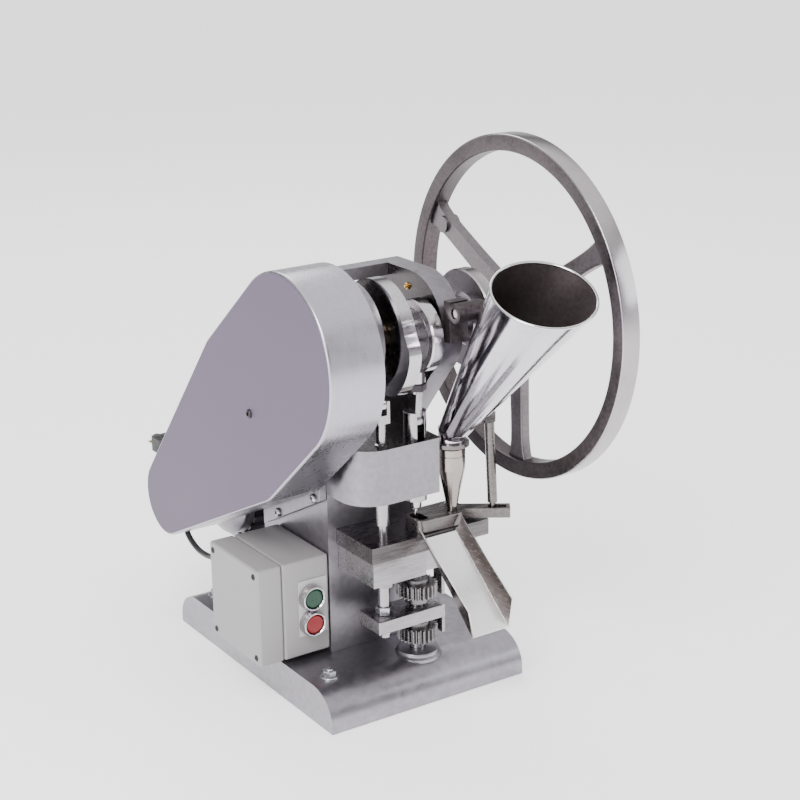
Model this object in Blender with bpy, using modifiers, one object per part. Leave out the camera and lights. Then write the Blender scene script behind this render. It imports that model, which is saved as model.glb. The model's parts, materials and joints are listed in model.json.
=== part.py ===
"""Single-punch tablet press: a bench machine with a belt-driven eccentric shaft.

Units in the constants are millimetres; every helper turns them into metres.
The press is laid out from the middle of the base: +X towards the handwheel,
-Y towards the operator, +Z up. One empty carries everything, and moves it so
that the origin is under the middle of the whole machine.
"""
import math

import bmesh
import bpy
from mathutils import Matrix, Vector

MM = 0.001
ROUND = 24                      # sides of a turned or bored surface
GAP = 0.3                       # between touching solids

# ---- driving dimensions -------------------------------------------------------
CENTRE_X, CENTRE_Y = 5.0, -6.0  # middle of the machine, seen from above

BASE_WIDTH, BASE_DEPTH, BASE_HEIGHT = 240.0, 333.0, 41.0
BASE_WALL = 12.0

SHAFT_Y, SHAFT_Z = -124.0, 396.0
SHAFT_RADIUS = 15.0
ECCENTRIC_THROW = 10.0
ECCENTRIC_Y, ECCENTRIC_Z = SHAFT_Y - 8.0, SHAFT_Z - 6.0

PUNCH_X, PUNCH_Y = 13.0, SHAFT_Y
LIFT_X = -28.0                  # lift rod, in line with the punches
RAM_RADIUS = 12.0
WRIST_Z = 299.0                 # pivot between connecting rod and ram

COLUMN_LEFT, COLUMN_RIGHT = -66.0, 40.0
COLUMN_FRONT, COLUMN_BACK = -78.0, 58.0
COLUMN_TOP = 280.0
BLOCK_RIGHT, BLOCK_FRONT, BLOCK_BOTTOM = 32.0, -140.0, 221.0

LEFT_CHEEK = (-66.0, -44.0)     # x from, x to
RIGHT_CHEEK = (24.0, 48.0)

TABLE_TOP, TABLE_SPLIT, TABLE_BOTTOM = 180.6, 163.0, 136.5
TABLE_FRONT = -147.3
DIE_RADIUS, DIE_BORE = 11.0, 5.2

GEAR_RADIUS, GEAR_TEETH = 21.6, 24
PLATE_BOTTOM, PLATE_TOP = 80.0, 94.5
LIFT_ROLLER_Z = 322.8

WHEEL_LEFT, WHEEL_RIGHT = 133.0, 155.0
WHEEL_RADIUS, WHEEL_RIM = 180.5, 17.5
SPOKE_ANGLES = (28.0, 148.0, 268.0)

GUARD_LEFT, GUARD_RIGHT = -140.0, -80.0
GUARD_CIRCLES = ((SHAFT_Y, 384.0, 91.0), (-8.0, 332.0, 57.0),
                 (156.0, 160.0, 43.0), (-55.0, 283.0, 60.0))
MOTOR_Y, MOTOR_Z, MOTOR_RADIUS = 156.0, 160.0, 60.0
PULLEY_RADIUS, MOTOR_PULLEY_RADIUS = 72.0, 24.0

BOX_LEFT, BOX_RIGHT = -151.0, COLUMN_LEFT - GAP
BOX_FRONT, BOX_BACK = -77.5, 27.0
BOX_BOTTOM, BOX_TOP = 47.0, 155.0
BUTTON_X = -90.0
BUTTON_HEIGHTS = {"start": 113.0, "stop": 84.0}

FEED_PIVOT = (56.0, -122.0)
NECK_X, NECK_Y = 52.0, -133.0
HOPPER_LEAN, HOPPER_TURN = 37.4, -84.0      # degrees from upright, degrees about Z
HOPPER_BASE_Z, HOPPER_LENGTH = 280.0, 216.0
MOUTH_LEAN, MOUTH_TURN = 25.3, -107.0       # how the mouth's plane is tipped
ROCKER_Y, ROCKER_Z = -178.0, 420.0
ROLLER_AT = (-163.0, 382.0)
ROD_X, ROD_TOP, ROD_TIP = 94.0, (-140.0, 306.0), (-148.0, 186.5)
DIE_WINDOW = ((12.6, -124.0), (13.9, -133.0))   # the punch's path, seen from the boot

CORD_RADIUS = 3.25
COIL_X, COIL_Y, COIL_RADIUS = -35.0, 264.0, 36.0
PLUG_X, PLUG_Y, PLUG_LENGTH = -72.0, 262.0, 36.0
TERMINAL_TOP = 150.0

# ---- colours: base colour, roughness, metallic ----------------------------------
FINISHES = {
    "silver_paint": ((0.56, 0.55, 0.58), 0.42, 0.75),
    "guard_paint": ((0.52, 0.50, 0.56), 0.38, 0.75),
    "ground_steel": ((0.62, 0.60, 0.62), 0.32, 1.0),
    "polished_steel": ((0.80, 0.79, 0.80), 0.12, 1.0),
    "dark_steel": ((0.16, 0.15, 0.16), 0.45, 0.9),
    "stainless": ((0.60, 0.58, 0.60), 0.22, 1.0),
    "cast_iron": ((0.24, 0.22, 0.22), 0.50, 0.85),
    "bronze": ((0.55, 0.40, 0.20), 0.35, 1.0),
    "box_plastic": ((0.66, 0.66, 0.66), 0.50, 0.0),
    "green_plastic": ((0.02, 0.30, 0.16), 0.35, 0.0),
    "red_plastic": ((0.62, 0.04, 0.04), 0.35, 0.0),
    "black_rubber": ((0.02, 0.02, 0.02), 0.55, 0.0),
    "motor_paint": ((0.30, 0.30, 0.33), 0.50, 0.4),
}


def clear_scene():
    for obj in list(bpy.data.objects):
        bpy.data.objects.remove(obj, do_unlink=True)


def new_collection(name):
    collection = bpy.data.collections.new(name)
    bpy.context.scene.collection.children.link(collection)
    return collection


clear_scene()
PARTS = new_collection("tablet_press")
CUTTERS = new_collection("cutters")
PRESS = bpy.data.objects.new("press_origin", None)
PRESS.location = (-CENTRE_X * MM, -CENTRE_Y * MM, 0.0)
PARTS.objects.link(PRESS)


def finish(name):
    """The material of that name, made on first use."""
    material = bpy.data.materials.get(name)
    if material is None:
        colour, roughness, metallic = FINISHES[name]
        material = bpy.data.materials.new(name)
        material.use_nodes = True
        shader = material.node_tree.nodes["Principled BSDF"]
        shader.inputs["Base Color"].default_value = (*colour, 1.0)
        shader.inputs["Roughness"].default_value = roughness
        shader.inputs["Metallic"].default_value = metallic
    return material


def place(obj, collection):
    for owner in list(obj.users_collection):
        owner.objects.unlink(obj)
    collection.objects.link(obj)
    obj.parent = PRESS


def cutter(obj, name="cutter"):
    """Set an object aside as a cutter or a piece to be merged."""
    obj.name = name
    place(obj, CUTTERS)
    obj.hide_render = True
    obj.display_type = "WIRE"
    return obj


def part(obj, name, material):
    """Keep an object as a named piece of the press."""
    obj.name = name
    obj.data.name = name
    place(obj, PARTS)
    obj.data.materials.clear()
    obj.data.materials.append(finish(material))
    obj.data.shade_smooth()
    obj.data.set_sharp_from_angle(angle=math.radians(30))
    return obj


def boolean(obj, tools, operation="DIFFERENCE"):
    for tool in tools if isinstance(tools, (list, tuple)) else [tools]:
        modifier = obj.modifiers.new(operation.lower(), "BOOLEAN")
        modifier.operation = operation
        modifier.solver = "EXACT"
        modifier.object = cutter(tool)
    return obj


def bevel(obj, width, segments=1):
    modifier = obj.modifiers.new("bevel", "BEVEL")
    modifier.width = width * MM
    modifier.segments = segments
    modifier.limit_method = "ANGLE"
    modifier.angle_limit = math.radians(50)
    return obj


def block(low, high):
    """A box between two corners, its scale applied."""
    low, high = Vector(low) * MM, Vector(high) * MM
    bpy.ops.mesh.primitive_cube_add(size=1.0, location=(low + high) / 2)
    obj = bpy.context.object
    obj.scale = high - low
    bpy.ops.object.transform_apply(location=False, rotation=False, scale=True)
    return obj


TURN_TO_AXIS = {"X": (0.0, math.pi / 2, 0.0), "Y": (-math.pi / 2, 0.0, 0.0),
                "-Y": (math.pi / 2, 0.0, 0.0), "Z": (0.0, 0.0, 0.0)}


def rod(radius, centre, start, end, axis="Z", sides=ROUND):
    """A round bar along an axis, from start to end, through centre."""
    index = "XYZ".index(axis)
    location = list(centre)
    location[index] = (start + end) / 2
    bpy.ops.mesh.primitive_cylinder_add(
        vertices=sides, radius=radius * MM, depth=abs(end - start) * MM,
        location=Vector(location) * MM, rotation=TURN_TO_AXIS[axis])
    return bpy.context.object


def turned(profile, centre, axis="Z", sides=ROUND):
    """A turned solid: (radius, height) points, top to bottom down the outer side.

    Heights are measured along the axis from centre. A profile that starts and
    ends off the axis is closed into a ring.
    """
    points = list(profile)
    hollow = points[0][0] > 0.0 and points[-1][0] > 0.0
    if hollow:
        points.append(points[0])
    mesh = bpy.data.meshes.new("turned")
    verts = [(r * MM, 0.0, h * MM) for r, h in points]
    if hollow:
        verts.pop()
    count = len(verts)
    edges = [(i, i + 1) for i in range(count - 1)]
    if hollow:
        edges.append((count - 1, 0))
    mesh.from_pydata(verts, edges, [])
    obj = bpy.data.objects.new("turned", mesh)
    bpy.context.scene.collection.objects.link(obj)
    obj.location = Vector(centre) * MM
    obj.rotation_euler = TURN_TO_AXIS[axis]
    screw = obj.modifiers.new("turn", "SCREW")
    screw.steps = sides
    screw.render_steps = sides
    screw.use_merge_vertices = True
    screw.merge_threshold = 0.00001
    screw.use_normal_calculate = False
    return obj


# A flat outline is drawn in local X and Y and pushed out along local Z.
OUTLINE_PLANES = {
    "XY": Matrix(((1, 0, 0), (0, 1, 0), (0, 0, 1))),
    "YZ": Matrix(((0, 0, 1), (1, 0, 0), (0, 1, 0))),
    "XZ": Matrix(((1, 0, 0), (0, 0, -1), (0, 1, 0))),
}


def baked(obj, weld=0.000001):
    """Turn a curve into a mesh object in the same place, with its caps welded."""
    depsgraph = bpy.context.evaluated_depsgraph_get()
    mesh = bpy.data.meshes.new_from_object(obj.evaluated_get(depsgraph))
    shape = bmesh.new()
    shape.from_mesh(mesh)
    bmesh.ops.remove_doubles(shape, verts=shape.verts, dist=weld)
    bmesh.ops.recalc_face_normals(shape, faces=shape.faces)
    shape.to_mesh(mesh)
    shape.free()
    result = bpy.data.objects.new(obj.name, mesh)
    result.matrix_world = obj.matrix_world.copy()
    bpy.context.scene.collection.objects.link(result)
    bpy.data.objects.remove(obj, do_unlink=True)
    return result


def outline(points, plane, start, end, holes=()):
    """A flat outline given thickness: plane YZ runs from x=start to x=end."""
    curve = bpy.data.curves.new("outline", "CURVE")
    curve.dimensions = "2D"
    curve.fill_mode = "BOTH"
    curve.extrude = abs(end - start) / 2 * MM
    for loop in (points, *holes):
        spline = curve.splines.new("POLY")
        spline.points.add(len(loop) - 1)
        for point, (u, v) in zip(spline.points, loop):
            point.co = (u * MM, v * MM, 0.0, 1.0)
        spline.use_cyclic_u = True
    obj = bpy.data.objects.new("outline", curve)
    bpy.context.scene.collection.objects.link(obj)
    turn = OUTLINE_PLANES[plane]
    middle = (start + end) / 2 * MM
    offset = {"XY": (0, 0, middle), "YZ": (middle, 0, 0), "XZ": (0, middle, 0)}[plane]
    obj.matrix_world = Matrix.Translation(offset) @ turn.to_4x4()
    bpy.context.view_layer.update()
    return baked(obj)


def tube(points, radius, resolution=2):
    """A round wire through the points, with flat ends."""
    curve = bpy.data.curves.new("tube", "CURVE")
    curve.dimensions = "3D"
    curve.bevel_depth = radius * MM
    curve.bevel_resolution = resolution
    curve.use_fill_caps = True
    spline = curve.splines.new("POLY")
    spline.points.add(len(points) - 1)
    for point, place_at in zip(spline.points, points):
        point.co = (*(Vector(place_at) * MM), 1.0)
    obj = bpy.data.objects.new("tube", curve)
    bpy.context.scene.collection.objects.link(obj)
    bpy.context.view_layer.update()
    return baked(obj)


def arc(centre, radius, start, end, count):
    """Points on an arc, angles in degrees."""
    step = (end - start) / (count - 1)
    angles = [math.radians(start + step * i) for i in range(count)]
    return [(centre[0] + radius * math.cos(a), centre[1] + radius * math.sin(a)) for a in angles]


def hull(points):
    """Convex outline around points, anticlockwise."""
    points = sorted(set((round(x, 4), round(y, 4)) for x, y in points))

    def half(sequence):
        chain = []
        for p in sequence:
            while len(chain) > 1:
                (ax, ay), (bx, by) = chain[-2], chain[-1]
                if (bx - ax) * (p[1] - ay) - (by - ay) * (p[0] - ax) > 0:
                    break
                chain.pop()
            chain.append(p)
        return chain[:-1]

    return half(points) + half(reversed(points))


def around(circles, count=24):
    """Outline stretched around circles given as (u, v, radius)."""
    return hull([p for u, v, r in circles for p in arc((u, v), r, 0, 360, count + 1)])


def smooth_path(knots, per_span=4):
    """Catmull-Rom curve through knots."""
    knots = [Vector(k) for k in knots]
    ends = [2 * knots[0] - knots[1], *knots, 2 * knots[-1] - knots[-2]]
    path = []
    for i in range(1, len(ends) - 2):
        before, start, stop, after = ends[i - 1:i + 3]
        for j in range(per_span):
            t = j / per_span
            path.append(0.5 * ((2 * start) + (stop - before) * t
                               + (2 * before - 5 * start + 4 * stop - after) * t * t
                               + (3 * start - before - 3 * stop + after) * t ** 3))
    path.append(knots[-1])
    return path


def punch_line(x=PUNCH_X):
    """Centre of a vertical bar in line with the punches."""
    return (x, PUNCH_Y, 0.0)


# ---- base and frame -----------------------------------------------------------------
def make_base():
    """Crowned casting, hollow underneath, with a round boss under the lower punch."""
    half = BASE_DEPTH / 2
    crown = [(-half, 0.0), (-half, 9.0), (-half + 3.5, 19.0), (-half + 9.0, 28.5),
             (-half + 16.5, 35.5), (-half + 26.0, 39.8), (-half + 37.0, BASE_HEIGHT)]
    profile = crown + [(-y, z) for y, z in reversed(crown)]
    base = outline(profile, "YZ", -BASE_WIDTH / 2, BASE_WIDTH / 2)
    recess = block((-BASE_WIDTH / 2 + BASE_WALL, -half + 22.0, -1.0),
                   (BASE_WIDTH / 2 - BASE_WALL, half - 22.0, BASE_HEIGHT - BASE_WALL))
    boss = rod(22.5, punch_line(), BASE_HEIGHT - 6.0, BASE_HEIGHT + 5.0)
    bore = rod(8.4, punch_line(), 0.0, BASE_HEIGHT + 8.0)
    boolean(base, boss, "UNION")
    boolean(base, [recess, bore])
    return part(base, "base_casting", "silver_paint")


def cheek_outline():
    """Side view of a bearing cheek: upright at the back, round nose at the front."""
    nose = arc((-104.0, 393.0), 56.0, 90.0, 232.0, 15)
    return [(-34.0, 270.0), (-34.0, 440.0), (-43.0, 449.0)] + nose + [(-92.0, 292.0), (-92.0, 270.0)]


def make_frame():
    """Column, guide block and yoke in one casting."""
    column = block((COLUMN_LEFT, COLUMN_FRONT, BASE_HEIGHT + GAP),
                   (COLUMN_RIGHT, COLUMN_BACK, COLUMN_TOP))
    corner = arc((-30.0, -104.0), 36.0, 180.0, 270.0, 9)
    plan = [(COLUMN_LEFT, COLUMN_FRONT + 5.0)] + corner
    plan += [(BLOCK_RIGHT, BLOCK_FRONT), (BLOCK_RIGHT, COLUMN_FRONT + 5.0)]
    guide = outline(plan, "XY", BLOCK_BOTTOM, COLUMN_TOP - 0.01)
    cheeks = [outline(cheek_outline(), "YZ", *span) for span in (LEFT_CHEEK, RIGHT_CHEEK)]
    tie = block((LEFT_CHEEK[1] - 2.0, -61.0, 436.0), (RIGHT_CHEEK[0] + 2.0, -43.0, 449.0))
    boolean(column, [guide, *cheeks, tie], "UNION")
    inside = block((COLUMN_LEFT + 13.0, COLUMN_FRONT + 14.0, 0.0),
                   (COLUMN_RIGHT - 13.0, COLUMN_BACK - 13.0, COLUMN_TOP - 30.0))
    shaft_bore = rod(24.3, (0, SHAFT_Y, SHAFT_Z), COLUMN_LEFT - 5.0, RIGHT_CHEEK[1] + 5.0, "X")
    ram_bore = rod(RAM_RADIUS + GAP, punch_line(), BLOCK_BOTTOM - 5.0, COLUMN_TOP + 5.0)
    lift_bore = rod(7.4, punch_line(LIFT_X), BLOCK_BOTTOM - 5.0, COLUMN_TOP + 5.0)
    boolean(column, [inside, shaft_bore, ram_bore, lift_bore])
    return part(column, "frame_casting", "silver_paint")


def make_bushes():
    for name, (left, right) in (("left_bush", LEFT_CHEEK), ("right_bush", RIGHT_CHEEK)):
        ring = [(24.0, right), (24.0, left), (SHAFT_RADIUS + 0.3, left), (SHAFT_RADIUS + 0.3, right)]
        part(turned(ring, (0, SHAFT_Y, SHAFT_Z), "X"), name, "bronze")


# ---- die table ------------------------------------------------------------------------
def make_table():
    upper = block((-56.0, TABLE_FRONT, TABLE_SPLIT + GAP), (89.0, COLUMN_FRONT - GAP, TABLE_TOP))
    boolean(upper, [rod(DIE_RADIUS + GAP, punch_line(), 150.0, 190.0),
                    rod(5.6, punch_line(LIFT_X), 150.0, 190.0),
                    rod(3.7, (*FEED_PIVOT, 0.0), 150.0, 190.0)])
    part(upper, "die_table", "ground_steel")
    lower = block((-54.5, TABLE_FRONT + 0.7, TABLE_BOTTOM), (38.0, COLUMN_FRONT - GAP, TABLE_SPLIT))
    notch = block((10.0, TABLE_FRONT - 5.0, TABLE_BOTTOM - 5.0), (45.0, -138.0, TABLE_SPLIT + 5.0))
    foot = rod(11.0, punch_line(LIFT_X), TABLE_BOTTOM - 9.5, TABLE_BOTTOM + 5.0)
    boolean(lower, foot, "UNION")
    boolean(lower, [notch, rod(DIE_RADIUS + GAP, punch_line(), 157.0, 170.0),
                    rod(7.0, punch_line(), 130.0, 160.0),
                    rod(6.6, punch_line(LIFT_X), 120.0, 170.0)])
    part(lower, "table_holder", "ground_steel")
    ring = [(DIE_RADIUS, TABLE_TOP), (DIE_RADIUS, 157.3), (DIE_BORE, 157.3), (DIE_BORE, TABLE_TOP)]
    part(turned(ring, punch_line()), "die", "polished_steel")


# ---- main shaft and what turns with it ---------------------------------------------------
def cam_outline(base_radius, lobe_radius, lobe_start, lobe_end, ramp):
    """A round cam with one raised stretch and smooth ramps, seen along X."""
    points = []
    steps = 60
    middle, half = (lobe_start + lobe_end) / 2, (lobe_end - lobe_start) / 2
    for i in range(steps):
        angle = 360.0 * i / steps
        away = abs((angle - middle + 180.0) % 360.0 - 180.0)
        share = 0.5 + 0.5 * math.cos(math.pi * min(max(away - half, 0.0) / ramp, 1.0))
        reach = base_radius + (lobe_radius - base_radius) * share
        points.append((SHAFT_Y + reach * math.cos(math.radians(angle)),
                       SHAFT_Z + reach * math.sin(math.radians(angle))))
    return points


def shaft_hole(start, end, centre=(0, SHAFT_Y, SHAFT_Z)):
    return rod(SHAFT_RADIUS + GAP, centre, start, end, "X")


def make_shaft():
    axis = (0, SHAFT_Y, SHAFT_Z)
    part(rod(SHAFT_RADIUS, axis, -130.0, 161.0, "X"), "main_shaft", "ground_steel")
    cam = outline(cam_outline(57.0, 65.5, 190.0, 234.0, 26.0), "YZ", -35.0, -21.0)
    part(boolean(cam, shaft_hole(-40.0, -15.0)), "ejection_cam", "polished_steel")
    sheave = rod(28.6, (0, ECCENTRIC_Y, ECCENTRIC_Z), PUNCH_X - 7.0, PUNCH_X + 7.0, "X")
    part(boolean(sheave, shaft_hole(0.0, 26.0)), "eccentric_sheave", "ground_steel")
    disc = [(SHAFT_RADIUS + GAP, 86.5), (51.0, 86.5), (51.0, 72.0), (24.0, 72.0), (24.0, 56.0),
            (SHAFT_RADIUS + GAP, 56.0)]
    part(turned(disc, axis, "X", 40), "feed_cam", "dark_steel")
    grooves = [(SHAFT_RADIUS + GAP, -102.0), (PULLEY_RADIUS, -102.0), (PULLEY_RADIUS, -106.0),
               (PULLEY_RADIUS - 9.0, -111.0), (PULLEY_RADIUS - 9.0, -115.0),
               (PULLEY_RADIUS, -120.0), (PULLEY_RADIUS, -124.0), (SHAFT_RADIUS + GAP, -124.0)]
    part(turned(grooves, axis, "X", 32), "drive_pulley", "cast_iron")


def make_handwheel():
    """Rim and hub are turned; three tapered flat spokes join them."""
    axis = (0, SHAFT_Y, SHAFT_Z)
    inner = WHEEL_RADIUS - WHEEL_RIM
    rim = [(inner, WHEEL_RIGHT - 1.5), (inner + 1.5, WHEEL_RIGHT), (WHEEL_RADIUS - 1.5, WHEEL_RIGHT),
           (WHEEL_RADIUS, WHEEL_RIGHT - 1.5), (WHEEL_RADIUS, WHEEL_LEFT + 1.5),
           (WHEEL_RADIUS - 1.5, WHEEL_LEFT), (inner + 1.5, WHEEL_LEFT), (inner, WHEEL_LEFT + 1.5)]
    wheel = turned(rim, axis, "X", 2 * ROUND)
    hub = [(SHAFT_RADIUS + GAP, 156.0), (26.0, 156.0), (29.0, 153.0), (29.0, 128.0), (25.0, 102.0),
           (SHAFT_RADIUS + GAP, 102.0)]
    pieces = [turned(hub, axis, "X")]
    for angle in SPOKE_ANGLES:
        c, s = math.cos(math.radians(angle)), math.sin(math.radians(angle))
        flat = [(22.0, -15.0), (inner + 4.0, -12.0), (inner + 4.0, 12.0), (22.0, 15.0)]
        plan = [(SHAFT_Y + u * c - v * s, SHAFT_Z + u * s + v * c) for u, v in flat]
        pieces.append(outline(plan, "YZ", 138.0, 150.0))
    c, s = math.cos(math.radians(SPOKE_ANGLES[0])), math.sin(math.radians(SPOKE_ANGLES[0]))
    boss_at = (0, SHAFT_Y + 142.0 * c, SHAFT_Z + 142.0 * s)
    pieces.append(rod(9.0, boss_at, 133.0, 153.0, "X", 24))
    boolean(wheel, pieces, "UNION")
    part(wheel, "handwheel", "cast_iron")


# ---- eccentric strap, connecting rod, ram --------------------------------------------------
def make_strap():
    """The strap hangs from the eccentric; its rod leans a little towards the wrist."""
    lean = math.atan2(PUNCH_Y - ECCENTRIC_Y, ECCENTRIC_Z - WRIST_Z)
    hang = bpy.data.objects.new("strap_pivot", None)
    hang.location = Vector((PUNCH_X, ECCENTRIC_Y, ECCENTRIC_Z)) * MM
    hang.rotation_euler = (lean, 0.0, 0.0)
    hang.parent = PRESS
    PARTS.objects.link(hang)
    ring = [(37.5, 7.0), (37.5, -7.0), (29.1, -7.0), (29.1, 7.0)]
    strap = turned(ring, (0, 0, 0), "X", 40)
    neck = rod(9.5, (0, 0, 0), -36.0, -50.0)
    strap_socket = rod(7.0, (0, 0, 0), -36.5, -60.0)
    boolean(strap, neck, "UNION")
    boolean(strap, strap_socket)
    part(strap, "eccentric_strap", "polished_steel")
    reach = math.hypot(PUNCH_Y - ECCENTRIC_Y, ECCENTRIC_Z - WRIST_Z)
    shank = rod(6.7, (0, 0, 0), -38.0, -reach + 30.0)
    blade = block((-3.8, -6.5, -reach), (3.8, 6.5, -reach + 32.0))
    eye = rod(9.0, (0, 0, -reach), -3.8, 3.8, "X")
    eye_bore = rod(4.8, (0, 0, -reach), -8.0, 8.0, "X")
    boolean(shank, [blade, eye], "UNION")
    boolean(shank, eye_bore)
    part(shank, "connecting_rod", "ground_steel")
    nut = boolean(rod(11.0, (0, 0, 0), -50.3, -58.0, sides=6), rod(7.0, (0, 0, 0), -45.0, -65.0))
    part(nut, "connecting_lock_nut", "dark_steel")
    pin = rod(4.5, (0, 0, -reach), -3.8, 3.8, "X")
    part(pin, "wrist_pin", "polished_steel")
    for obj in (strap, shank, nut, pin):
        obj.parent = hang
    for tool in (neck, strap_socket, blade, eye, eye_bore, nut.modifiers[0].object):
        tool.parent = hang


def make_ram():
    """The ram's forked top straddles the connecting rod's eye."""
    ram = rod(RAM_RADIUS, punch_line(), 213.0, 309.0)
    slot = block((PUNCH_X - 4.4, PUNCH_Y - 20.0, WRIST_Z - 32.0), (PUNCH_X + 4.4, PUNCH_Y + 20.0, 320.0))
    socket = rod(4.3, punch_line(), 205.0, 232.0)
    boolean(ram, [slot, socket])
    part(ram, "upper_ram", "ground_steel")
    punch = [(0.0, 231.0), (4.0, 231.0), (4.0, 212.7), (6.0, 212.7), (6.0, 205.0), (5.0, 203.5),
             (2.5, 203.0), (2.5, 182.0), (0.0, 182.0)]
    part(turned(punch, punch_line()), "upper_punch", "polished_steel")


# ---- lift rod, lift plate, lower punch and its gears --------------------------------------
def make_lift():
    stem = [(0.0, LIFT_ROLLER_Z - 15.3), (5.2, LIFT_ROLLER_Z - 15.3), (5.2, 282.0), (7.1, 281.0), (7.1, 194.0), (5.2, 193.0),
            (5.2, 150.0), (6.2, 149.0), (6.2, 69.0), (0.0, 69.0)]
    lift_rod = turned(stem, punch_line(LIFT_X))
    fork = block((LIFT_X - 7.0, PUNCH_Y - 6.5, LIFT_ROLLER_Z - 19.3),
                 (LIFT_X + 7.0, PUNCH_Y + 6.5, LIFT_ROLLER_Z + 4.2))
    boolean(lift_rod, fork, "UNION")
    slot = block((LIFT_X - 3.5, PUNCH_Y - 20.0, LIFT_ROLLER_Z - 10.3),
                 (LIFT_X + 3.5, PUNCH_Y + 20.0, LIFT_ROLLER_Z + 15.0))
    pin_hole = rod(2.8, (0, PUNCH_Y, LIFT_ROLLER_Z), LIFT_X - 12.0, LIFT_X + 12.0, "X", 16)
    part(boolean(lift_rod, [slot, pin_hole]), "lift_rod", "ground_steel")
    roller = rod(7.0, (0, PUNCH_Y, LIFT_ROLLER_Z), LIFT_X - 3.0, LIFT_X + 3.0, "X")
    axle = rod(2.5, (0, PUNCH_Y, LIFT_ROLLER_Z), LIFT_X - 7.0, LIFT_X + 7.0, "X", 16)
    part(boolean(roller, axle, "UNION"), "lift_roller", "polished_steel")
    plate = block((-46.0, -142.0, PLATE_BOTTOM), (34.0, -103.0, PLATE_TOP))
    boolean(plate, [rod(6.5, punch_line(LIFT_X), 70.0, 100.0), rod(8.4, punch_line(), 70.0, 100.0)])
    part(plate, "lift_plate", "ground_steel")
    for name, low, high in (("lift_nut_upper", PLATE_TOP + GAP, PLATE_TOP + 9.0),
                            ("lift_nut_lower", PLATE_BOTTOM - 6.5, PLATE_BOTTOM - GAP)):
        nut = rod(9.5, punch_line(LIFT_X), low, high, sides=6)
        part(boolean(nut, rod(6.5, punch_line(LIFT_X), 60.0, 110.0)), name, "dark_steel")
    punch = [(0.0, 172.0), (4.9, 172.0), (4.9, 140.0), (6.5, 138.0), (6.5, 126.0), (8.0, 125.5),
             (8.0, 20.0), (0.0, 20.0)]
    part(turned(punch, punch_line()), "lower_punch", "ground_steel")


def make_gears():
    """Two toothed adjusting collars on the lower punch's threaded shank."""
    root = GEAR_RADIUS - 3.2
    teeth = []
    for i in range(GEAR_TEETH):
        for share, reach in ((-0.36, root), (-0.18, GEAR_RADIUS), (0.18, GEAR_RADIUS), (0.36, root)):
            angle = math.tau * (i + share) / GEAR_TEETH
            teeth.append((PUNCH_X + reach * math.cos(angle), PUNCH_Y + reach * math.sin(angle)))
    for name, low, high, hub_low, hub_high in (
            ("adjusting_gear_upper", 106.5, 120.5, 98.0, 126.0),
            ("adjusting_gear_lower", 57.0, 71.5, 53.0, 77.5)):
        gear = outline(teeth, "XY", low, high)
        boolean(gear, rod(13.0, punch_line(), hub_low, hub_high), "UNION")
        boolean(gear, rod(8.3, punch_line(), 40.0, 135.0))
        part(gear, name, "ground_steel")
    lock_x = PUNCH_X + GEAR_RADIUS + 1.2
    upper = block((lock_x, PUNCH_Y - 13.0, 104.0), (lock_x + 4.0, PUNCH_Y + 3.0, TABLE_BOTTOM - GAP))
    part(upper, "gear_lock_upper", "ground_steel")
    lower = block((lock_x, PUNCH_Y - 13.0, 60.0), (lock_x + 4.0, PUNCH_Y + 3.0, PLATE_TOP - 2.0))
    tongue = block((34.3, PUNCH_Y - 13.0, PLATE_BOTTOM), (lock_x + 1.0, PUNCH_Y + 3.0, PLATE_TOP - 2.0))
    part(boolean(lower, tongue, "UNION"), "gear_lock_lower", "ground_steel")


# ---- feeder, rocker, hopper, chute ------------------------------------------------------------
def arm_outline(start, end, half_width):
    """Four-cornered strip along the feeder's arm, between two radii from its pivot."""
    angle = math.atan2(ROD_TIP[0] - FEED_PIVOT[1], ROD_X - FEED_PIVOT[0])
    c, s = math.cos(angle), math.sin(angle)
    corners = [(start, -half_width), (end, -half_width), (end, half_width), (start, half_width)]
    return [(FEED_PIVOT[0] + u * c - v * s, FEED_PIVOT[1] + u * s + v * c) for u, v in corners]


def make_feeder():
    """Boot with a window at the die, a round seat for the neck and a slotted arm."""
    floor, top = TABLE_TOP + GAP, 194.5
    plan = around([(*p, 10.5) for p in DIE_WINDOW] + [(NECK_X, NECK_Y, 12.0)], 16)
    body = outline(plan, "XY", floor, top)
    pivot = rod(10.0, (*FEED_PIVOT, 0.0), floor, top, sides=16)
    arm = outline(arm_outline(0.0, 64.0, 7.5), "XY", floor + 2.5, top - 0.5)
    boolean(body, [pivot, arm], "UNION")
    window = outline(around([(*p, 6.5) for p in DIE_WINDOW], 16), "XY", floor - 5.0, top + 5.0)
    slot = outline(arm_outline(41.0, 60.0, 4.0), "XY", floor - 5.0, top + 5.0)
    boolean(body, [window, slot, rod(3.7, (*FEED_PIVOT, 0.0), 170.0, 200.0),
                   rod(5.6, (NECK_X, NECK_Y, 0.0), 187.0, 200.0),
                   rod(4.2, (NECK_X, NECK_Y, 0.0), 170.0, 190.0)])
    part(body, "feeder_boot", "dark_steel")
    neck = [(14.2, 264.5), (14.2, 242.0), (5.3, 197.0), (5.3, 187.3), (4.2, 187.3), (4.2, 197.3),
            (13.0, 242.3), (13.0, 264.5)]
    part(turned(neck, (NECK_X, NECK_Y, 0.0)), "feeder_neck", "stainless")
    screw = [(0.0, 199.5), (4.5, 199.5), (4.5, 194.8), (3.4, 194.8), (3.4, 166.0), (0.0, 166.0)]
    part(turned(screw, (*FEED_PIVOT, 0.0)), "feeder_pivot_screw", "polished_steel")


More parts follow.
